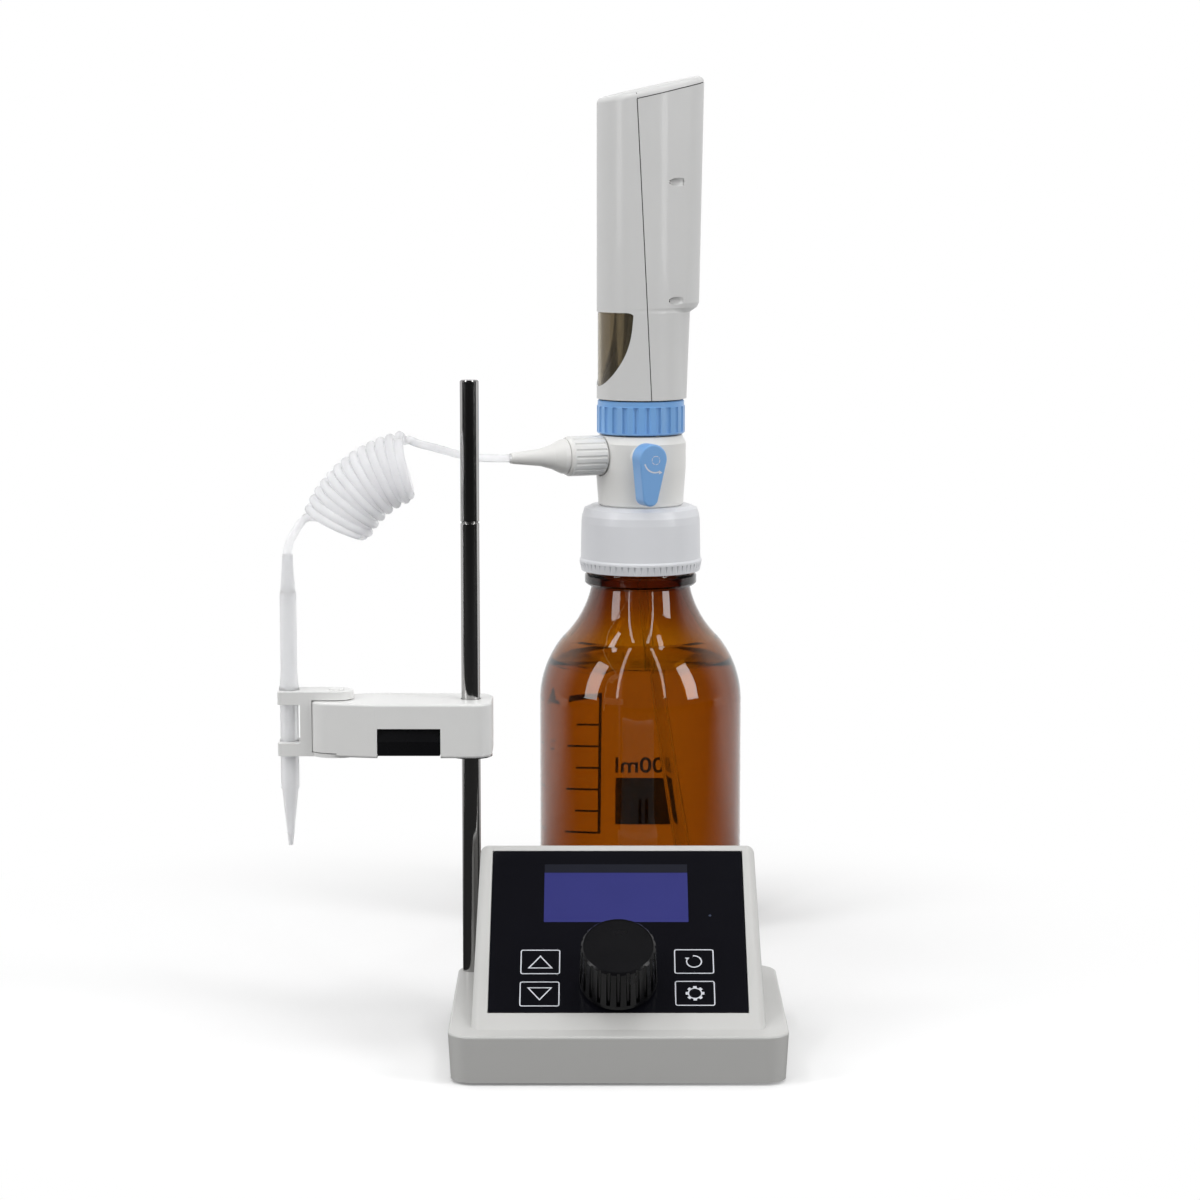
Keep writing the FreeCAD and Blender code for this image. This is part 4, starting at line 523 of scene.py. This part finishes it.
def on_glass(angle_deg, z):
    # A point on the bottle's outside; 0 degrees is straight back.
    angle = math.radians(angle_deg)
    return Vector((BOTTLE_AXIS.x + PRINT_R * MM * math.sin(angle),
                   BOTTLE_AXIS.y + PRINT_R * MM * math.cos(angle), z * MM))


def wrapped(bm, low_deg, high_deg, low_z, high_z):
    strip = bmesh.new()
    parts = max(2, round((high_deg - low_deg) / 2))
    bmesh.ops.create_grid(strip, x_segments=parts, y_segments=1, size=0.5)
    for v in strip.verts:
        v.co = on_glass(low_deg + (v.co.x + 0.5) * (high_deg - low_deg),
                        low_z + (v.co.y + 0.5) * (high_z - low_z))
    add_into(bm, strip)


SIZE_FOR_HEIGHT = 1.4
BOLDER = 0.02


def wrapped_words(bm, words, height, middle_deg, low_z, width=0.6):
    # Words to be read from behind the bottle, so they run to the left from the front.
    curve = bpy.data.curves.new("words", "FONT")
    curve.body = words
    curve.size = height * SIZE_FOR_HEIGHT
    curve.offset = height * BOLDER
    curve.align_x = "CENTER"
    mesh = curve_mesh(curve)
    for v in mesh.vertices:
        v.co = on_glass(middle_deg - width * math.degrees(v.co.x / PRINT_R), low_z + v.co.y)
    bm.from_mesh(mesh)
    bpy.data.meshes.remove(mesh)


def make_graduations():
    bm = bmesh.new()
    half = SCALE_LINE / 2
    top = SCALE_LOW_Z + SCALE_STEP * (SCALE_COUNT - 1)
    wrapped(bm, SCALE_AT_DEG, SCALE_AT_DEG + UPRIGHT_DEG, SCALE_LOW_Z - half, top + half)
    for i in range(SCALE_COUNT):
        z = SCALE_LOW_Z + i * SCALE_STEP
        reach = SHORT_MARK_DEG if i % 2 else LONG_MARK_DEG
        wrapped(bm, SCALE_AT_DEG - reach, SCALE_AT_DEG, z - half, z + half)
        if i % 2 == 0:
            wrapped_words(bm, str(100 + 50 * i), NUMBER_H, SCALE_AT_DEG - reach - NUMBER_PAST_DEG,
                          z - NUMBER_DROP)
    wrapped_words(bm, "500ml", VOLUME_H, *VOLUME_AT, VOLUME_WIDTH)
    to_piece(bm, "graduation_marks", "print_dark", "root", smooth=False)
    patch = bmesh.new()
    wrapped(patch, *PATCH_DEG, *PATCH_Z)
    to_piece(patch, "writing_patch", "print_dark", "root", smooth=False)


make_graduations()


# Painted shade in the dosing head's parting lines: dark sheets lining the grooves that stand in its shells

HEAD_TURN_DEG = 14.0
HEAD_LOW_Z = 223.6
HEAD_TOP_FRONT_Z = 348.7
HEAD_TOP_REAR_Z = 359.0
HEAD_FRONT_X = -18.7
HEAD_REAR_X = 26.9
LID_T = 3.2
SEAM_TOP_FORWARD = 6.2
GROOVE = 0.4
LINE_SLACK = 0.06
LINE_LIFT = 0.02


def head_place(point):
    # Millimetres in the head's own turn, from the bottle's axis.
    turn = Matrix.Rotation(math.radians(-HEAD_TURN_DEG), 4, "Z")
    return turn @ (point - Vector((BOTTLE_AXIS.x, BOTTLE_AXIS.y, 0))) / MM


def in_lid_line(point):
    lean = (HEAD_TOP_REAR_Z - HEAD_TOP_FRONT_Z) / (HEAD_REAR_X - HEAD_FRONT_X)
    drop = HEAD_TOP_FRONT_Z + lean * (point.x - HEAD_FRONT_X) - point.z
    behind_seam = point.x > -SEAM_TOP_FORWARD - 2 * GROOVE
    return behind_seam and LID_T - GROOVE - LINE_SLACK < drop < LID_T + LINE_SLACK


def in_seam_line(point):
    lean = -SEAM_TOP_FORWARD / (HEAD_TOP_FRONT_Z - HEAD_LOW_Z)
    behind = point.x - lean * (point.z - HEAD_LOW_Z)
    return -GROOVE - LINE_SLACK < behind < LINE_SLACK


def make_parting_line_painted_shade():
    bm = bmesh.new()
    shell = frame["nodes"]["front_shell"]
    place = shell.matrix_world
    for inside in (in_lid_line, in_seam_line):
        skin = bmesh.new()
        skin.from_mesh(shell.data)
        bmesh.ops.remove_doubles(skin, verts=skin.verts, dist=1e-6)
        gone = [f for f in skin.faces if not all(inside(head_place(place @ v.co)) for v in f.verts)]
        bmesh.ops.delete(skin, geom=gone, context="FACES")
        moved(skin, place)
        skin.normal_update()
        for v in skin.verts:
            v.co += v.normal * LINE_LIFT * MM
        add_into(bm, skin)
    to_piece(bm, "parting_line_painted_shade", "line_shade", "root", smooth=False)


make_parting_line_painted_shade()


# Control panel: display face, key outlines and signs

CONSOLE_FOOT_BACK = 9.5
CONSOLE_FOOT = Vector((BENCH_MID_X, BENCH_FRONT_Y + CONSOLE_FOOT_BACK * MM, TRAY_HIGH.z))
SLOPE_DEG = 35.2
PANEL_FROM_FOOT = 7.8
INK_LIFT = 0.04


def slope_matrix(x, up, lift=INK_LIFT):
    # x from the panel's middle, up from the panel's lower edge, lift off its face.
    turn = Matrix.Rotation(math.radians(SLOPE_DEG), 4, "X")
    return Matrix.Translation(CONSOLE_FOOT) @ turn @ Matrix.Translation(
        Vector((x, PANEL_FROM_FOOT + up, lift)) * MM)


def plate(width, height, corner, rim=None):
    # A rounded flat plate, or only its rim when one is given.
    bm = bmesh.new()
    bmesh.ops.create_grid(bm, x_segments=1, y_segments=1, size=0.5)
    bmesh.ops.scale(bm, vec=(width * MM, height * MM, 1), verts=bm.verts)
    if corner:
        bmesh.ops.bevel(bm, geom=bm.verts[:], offset=corner * MM, segments=4, profile=0.5,
                        affect="VERTICES", material=-1)
    if rim:
        keep_rim(bm, rim)
    return bm


def keep_rim(bm, rim):
    inner = bm.faces[:]
    bmesh.ops.inset_region(bm, faces=inner, thickness=rim * MM, use_even_offset=True,
                           use_boundary=True)
    bmesh.ops.delete(bm, geom=inner, context="FACES")


def ring_of(radius, sides, rim):
    bm = bmesh.new()
    bmesh.ops.create_circle(bm, cap_ends=True, radius=radius * MM, segments=sides)
    keep_rim(bm, rim)
    return bm


def cut_sector(bm, from_deg, to_deg):
    gone = []
    for face in bm.faces:
        c = face.calc_center_median()
        angle = math.degrees(math.atan2(c.y, c.x)) % 360
        if from_deg <= angle <= to_deg:
            gone.append(face)
    bmesh.ops.delete(bm, geom=gone, context="FACES")
    return bm


def shifted(x, y):
    return Matrix.Translation((x * MM, y * MM, 0))


def arrow_head(size, x, y, turn):
    bm = bmesh.new()
    bmesh.ops.create_circle(bm, cap_ends=True, radius=size * MM, segments=3)
    return moved(bm, shifted(x, y) @ Matrix.Rotation(math.radians(turn), 4, "Z"))


SIGN_LINE = 0.42
ARROW_R = 4.4
ARROW_STRETCH = (1.2, 0.93)
ARROW_DROP = 1.0


def up_sign():
    stretch = Matrix.Diagonal((*ARROW_STRETCH, 1, 1))
    return moved(ring_of(ARROW_R, 3, SIGN_LINE), shifted(0, -ARROW_DROP) @ stretch)


def down_sign():
    return moved(up_sign(), Matrix.Rotation(math.pi, 4, "Z"))


ROUND_LINE = 0.45
ROUND_SIDES = 40
RETURN_R = 2.9
RETURN_GAP_DEG = (95, 150)


def return_sign():
    bm = cut_sector(ring_of(RETURN_R, ROUND_SIDES, ROUND_LINE), *RETURN_GAP_DEG)
    add_into(bm, arrow_head(size=0.9, x=-2.45, y=1.35, turn=60))
    return bm


GEAR_TEETH = 8
GEAR_R = 2.6
TOOTH_MID_R = 2.93
TOOTH_W = 1.25
TOOTH_H = 0.8


def gear_sign():
    bm = ring_of(GEAR_R, ROUND_SIDES, ROUND_LINE)
    for tooth in range(GEAR_TEETH):
        turn = Matrix.Rotation(TAU * tooth / GEAR_TEETH, 4, "Z")
        add_into(bm, moved(plate(TOOTH_H, TOOTH_W, 0), turn @ shifted(TOOTH_MID_R, 0)))
    return bm


KEY_W = 14.3
KEY_H = 11.5
KEY_CORNER = 0.9
KEY_LINE = 0.4
KEYS = [("up", -28.0, 23.6, up_sign), ("down", -28.1, 8.6, down_sign),
        ("return", 27.4, 23.8, return_sign), ("settings", 27.45, 8.9, gear_sign)]


def make_panel_print():
    for name, x, up, sign in KEYS:
        bm = moved(plate(KEY_W, KEY_H, KEY_CORNER, KEY_LINE), slope_matrix(x, up))
        add_into(bm, moved(sign(), slope_matrix(x, up)))
        to_piece(bm, name + "_key_sign", "print_white", "root", smooth=False)


DISPLAY_X = -0.6
DISPLAY_UP = 56.9
DISPLAY_W = 52.8
DISPLAY_H = 28.4
DISPLAY_CORNER = 0.3
DISPLAY_LIFT = 0.03
BAR_H = 4.2
BAR_CORNER = 0.2
BAR_LIFT = 0.05


def make_display_face():
    glass = moved(plate(DISPLAY_W, DISPLAY_H, DISPLAY_CORNER),
                  slope_matrix(DISPLAY_X, DISPLAY_UP, DISPLAY_LIFT))
    to_piece(glass, "display_face", "display_blue", "root", smooth=False)
    bar_up = DISPLAY_UP + (DISPLAY_H - BAR_H) / 2
    bar = moved(plate(DISPLAY_W, BAR_H, BAR_CORNER), slope_matrix(DISPLAY_X, bar_up, BAR_LIFT))
    to_piece(bar, "display_top_bar", "display_bar", "root", smooth=False)


make_panel_print()
make_display_face()


# Turn sign on the lever's face

LEVER_REST_DEG = 4.0
LEVER_FACE_OUT = 8.23
HUB_R = 1.9
HUB_LINE = 0.28
HUB_AT = (1.0, -0.4)
HUB_DASH = 4
SWEEP_R = 5.2
SWEEP_LINE = 0.6
SWEEP_AT = (0.8, -0.6)
SWEEP_FROM_DEG = 200
SWEEP_TO_DEG = 300


def make_lever_sign():
    turn = joint("lever_turn")
    axis = Vector(turn["axis"])
    up = Vector((0, 0, 1))
    face = Vector(turn["pos_m"]) + axis * LEVER_FACE_OUT * MM
    basis = Matrix((up.cross(axis), up, axis)).transposed().to_4x4()
    lean = Matrix.Rotation(math.radians(-LEVER_REST_DEG), 4, "Z")
    bm = ring_of(HUB_R, 24, HUB_LINE)
    gone = [f for i, f in enumerate(bm.faces) if i % HUB_DASH == HUB_DASH - 1]
    bmesh.ops.delete(bm, geom=gone, context="FACES")
    moved(bm, shifted(*HUB_AT))
    sweep = cut_sector(ring_of(SWEEP_R, 60, SWEEP_LINE), 0, SWEEP_FROM_DEG)
    cut_sector(sweep, SWEEP_TO_DEG, 360)
    add_into(bm, moved(sweep, shifted(*SWEEP_AT)))
    add_into(bm, arrow_head(size=1.0, x=3.3, y=-5.3, turn=30))
    moved(bm, Matrix.Translation(face) @ basis @ lean)
    to_piece(bm, "lever_turn_sign", "print_white", "lever", smooth=False)


make_lever_sign()


# Floor, world and lights

# Metres from the floor's middle
SHADOW_FADE = (0.09, 0.31)
BACK_FADE = (0.10, 0.40)
FRONT_FADE = (0.0, 0.30)
# Shares of the direction towards the back and up
SKY_BACK_FADE = (-0.15, 0.40)
SKY_UP_FADE = (0.45, 0.85)
ROOM_DIM = 0.06
SKY_UP_DIM = 0.12
EVEN_LIGHT = 0.32


def soft_mask(tree, value, fade, to_min, to_max):
    ramp = add(tree, "ShaderNodeMapRange", interpolation_type="SMOOTHSTEP", From_Min=fade[0],
               From_Max=fade[1], To_Min=to_min, To_Max=to_max)
    join(tree, value, ramp.inputs["Value"])
    return ramp.outputs["Result"]


def product(tree, a, b):
    node = add(tree, "ShaderNodeMath", operation="MULTIPLY")
    join(tree, a, node.inputs[0])
    join(tree, b, node.inputs[1])
    return node.outputs[0]


def larger(tree, a, b):
    node = add(tree, "ShaderNodeMath", operation="MAXIMUM")
    join(tree, a, node.inputs[0])
    join(tree, b, node.inputs[1])
    return node.outputs[0]


def mixed(tree, share, a, b):
    node = add(tree, "ShaderNodeMixShader")
    join(tree, share, node.inputs["Fac"])
    join(tree, a, node.inputs[1])
    join(tree, b, node.inputs[2])
    return node.outputs["Shader"]


def make_floor():
    # White paper: it keeps the shadow near the object and runs out into plain white. Mirrors
    # see white behind the object and a dim room in front of it.
    bm = bmesh.new()
    bmesh.ops.create_circle(bm, cap_ends=True, radius=9.0, segments=64)
    mesh = bpy.data.meshes.new("floor")
    bm.to_mesh(mesh)
    bm.free()
    floor = bpy.data.objects.new("floor", mesh)
    bpy.context.scene.collection.objects.link(floor)
    material = bpy.data.materials.new("floor_paper")
    material.use_nodes = True
    tree = material.node_tree
    paper = tree.nodes["Principled BSDF"]
    paper.inputs["Base Color"].default_value = rgb(0.93, 0.93, 0.93)
    paper.inputs["Roughness"].default_value = 0.9
    paper.inputs["Specular IOR Level"].default_value = 0.0
    dull = add(tree, "ShaderNodeBsdfDiffuse", Color=rgb(0.20, 0.20, 0.20))
    dim = add(tree, "ShaderNodeBsdfDiffuse", Color=rgb(0.03, 0.03, 0.03))
    glow = add(tree, "ShaderNodeEmission", Color=rgb(1, 1, 1), Strength=1.0)
    place = add(tree, "ShaderNodeTexCoord")
    parts = add(tree, "ShaderNodeSeparateXYZ")
    join(tree, place.outputs["Object"], parts.inputs[0])
    distance = add(tree, "ShaderNodeVectorMath", operation="LENGTH")
    join(tree, place.outputs["Object"], distance.inputs[0])
    path = add(tree, "ShaderNodeLightPath")
    away = soft_mask(tree, distance.outputs["Value"], SHADOW_FADE, 0, 1)
    back = soft_mask(tree, parts.outputs["Y"], BACK_FADE, 0, 1)
    front = soft_mask(tree, parts.outputs["Y"], FRONT_FADE, 1, 0)
    mirrored = product(tree, path.outputs["Is Glossy Ray"], back)
    seen = larger(tree, path.outputs["Is Camera Ray"], path.outputs["Is Transmission Ray"])
    share = product(tree, away, larger(tree, seen, mirrored))
    lit = mixed(tree, path.outputs["Is Diffuse Ray"], paper.outputs["BSDF"], dull.outputs["BSDF"])
    lit = mixed(tree, product(tree, path.outputs["Is Glossy Ray"], front), lit, dim.outputs["BSDF"])
    lit = mixed(tree, share, lit, glow.outputs["Emission"])
    join(tree, lit, tree.nodes["Material Output"].inputs["Surface"])
    mesh.materials.append(material)


def make_world():
    # Mirrors see a white backdrop behind the object and a dim room in front of it and over it;
    # dull surfaces get an even light from all round.
    world = bpy.data.worlds.new("studio")
    bpy.context.scene.world = world
    world.use_nodes = True
    tree = world.node_tree
    room = tree.nodes["Background"]
    room.inputs["Color"].default_value = rgb(1, 1, 1)
    white = add(tree, "ShaderNodeBackground", Color=rgb(1, 1, 1), Strength=1.0)
    place = add(tree, "ShaderNodeTexCoord")
    parts = add(tree, "ShaderNodeSeparateXYZ")
    join(tree, place.outputs["Generated"], parts.inputs[0])
    behind = soft_mask(tree, parts.outputs["Y"], SKY_BACK_FADE, ROOM_DIM, 1.0)
    low = soft_mask(tree, parts.outputs["Z"], SKY_UP_FADE, 1.0, SKY_UP_DIM)
    path = add(tree, "ShaderNodeLightPath")
    around = add(tree, "ShaderNodeBackground", Color=rgb(1, 1, 1), Strength=EVEN_LIGHT)
    join(tree, product(tree, behind, low), room.inputs["Strength"])
    lit = mixed(tree, path.outputs["Is Diffuse Ray"], room.outputs["Background"],
                around.outputs["Background"])
    sky = mixed(tree, path.outputs["Is Camera Ray"], lit, white.outputs["Background"])
    join(tree, sky, tree.nodes["World Output"].inputs["Surface"])


def make_light(name, place, aim, size, watts, mirrored=True):
    data = bpy.data.lights.new(name, "AREA")
    data.shape = "RECTANGLE"
    data.size, data.size_y = size
    data.energy = watts
    light = bpy.data.objects.new(name, data)
    light.location = place
    light.visible_glossy = mirrored
    light.rotation_euler = (Vector(aim) - Vector(place)).to_track_quat("-Z", "Y").to_euler()
    bpy.context.scene.collection.objects.link(light)


def make_streak_lights():
    # Two tall strips that show as upright streaks on the bottle.
    for side, name in ((-1, "streak_left"), (1, "streak_right")):
        place = BOTTLE_AXIS + Vector((side * STREAK_ASIDE, -STREAK_BEFORE, 0))
        make_light(name, (place.x, place.y, STREAK_Z), (BOTTLE_AXIS.x, BOTTLE_AXIS.y, AIM_Z),
                   STREAK_SIZE, STREAK_WATTS)


AIM_Z = 0.15
AIM = (0, 0, AIM_Z)
SIDE_AIM = (0, 0, 0.2)
STREAK_ASIDE = 0.43
STREAK_BEFORE = 0.84
STREAK_Z = 0.975
STREAK_SIZE = (0.07, 1.67)
STREAK_WATTS = 1.8

make_floor()
make_world()
make_light("top_softbox", (0, -0.1, 1.6), AIM, size=(1.6, 1.4), watts=6, mirrored=False)
make_light("top_strip_left", (-0.58, 0.1, 1.5), AIM, size=(1.0, 0.12), watts=2.5)
make_light("top_strip_right", (0.46, 0.1, 1.5), AIM, size=(1.0, 0.12), watts=2)
make_light("left_softbox", (-1.3, -0.7, 0.8), SIDE_AIM, size=(0.5, 1.2), watts=10.5)
make_light("right_softbox", (1.3, -0.6, 0.7), SIDE_AIM, size=(0.4, 1.0), watts=9)
make_streak_lights()

bpy.context.scene.view_settings.view_transform = "Standard"
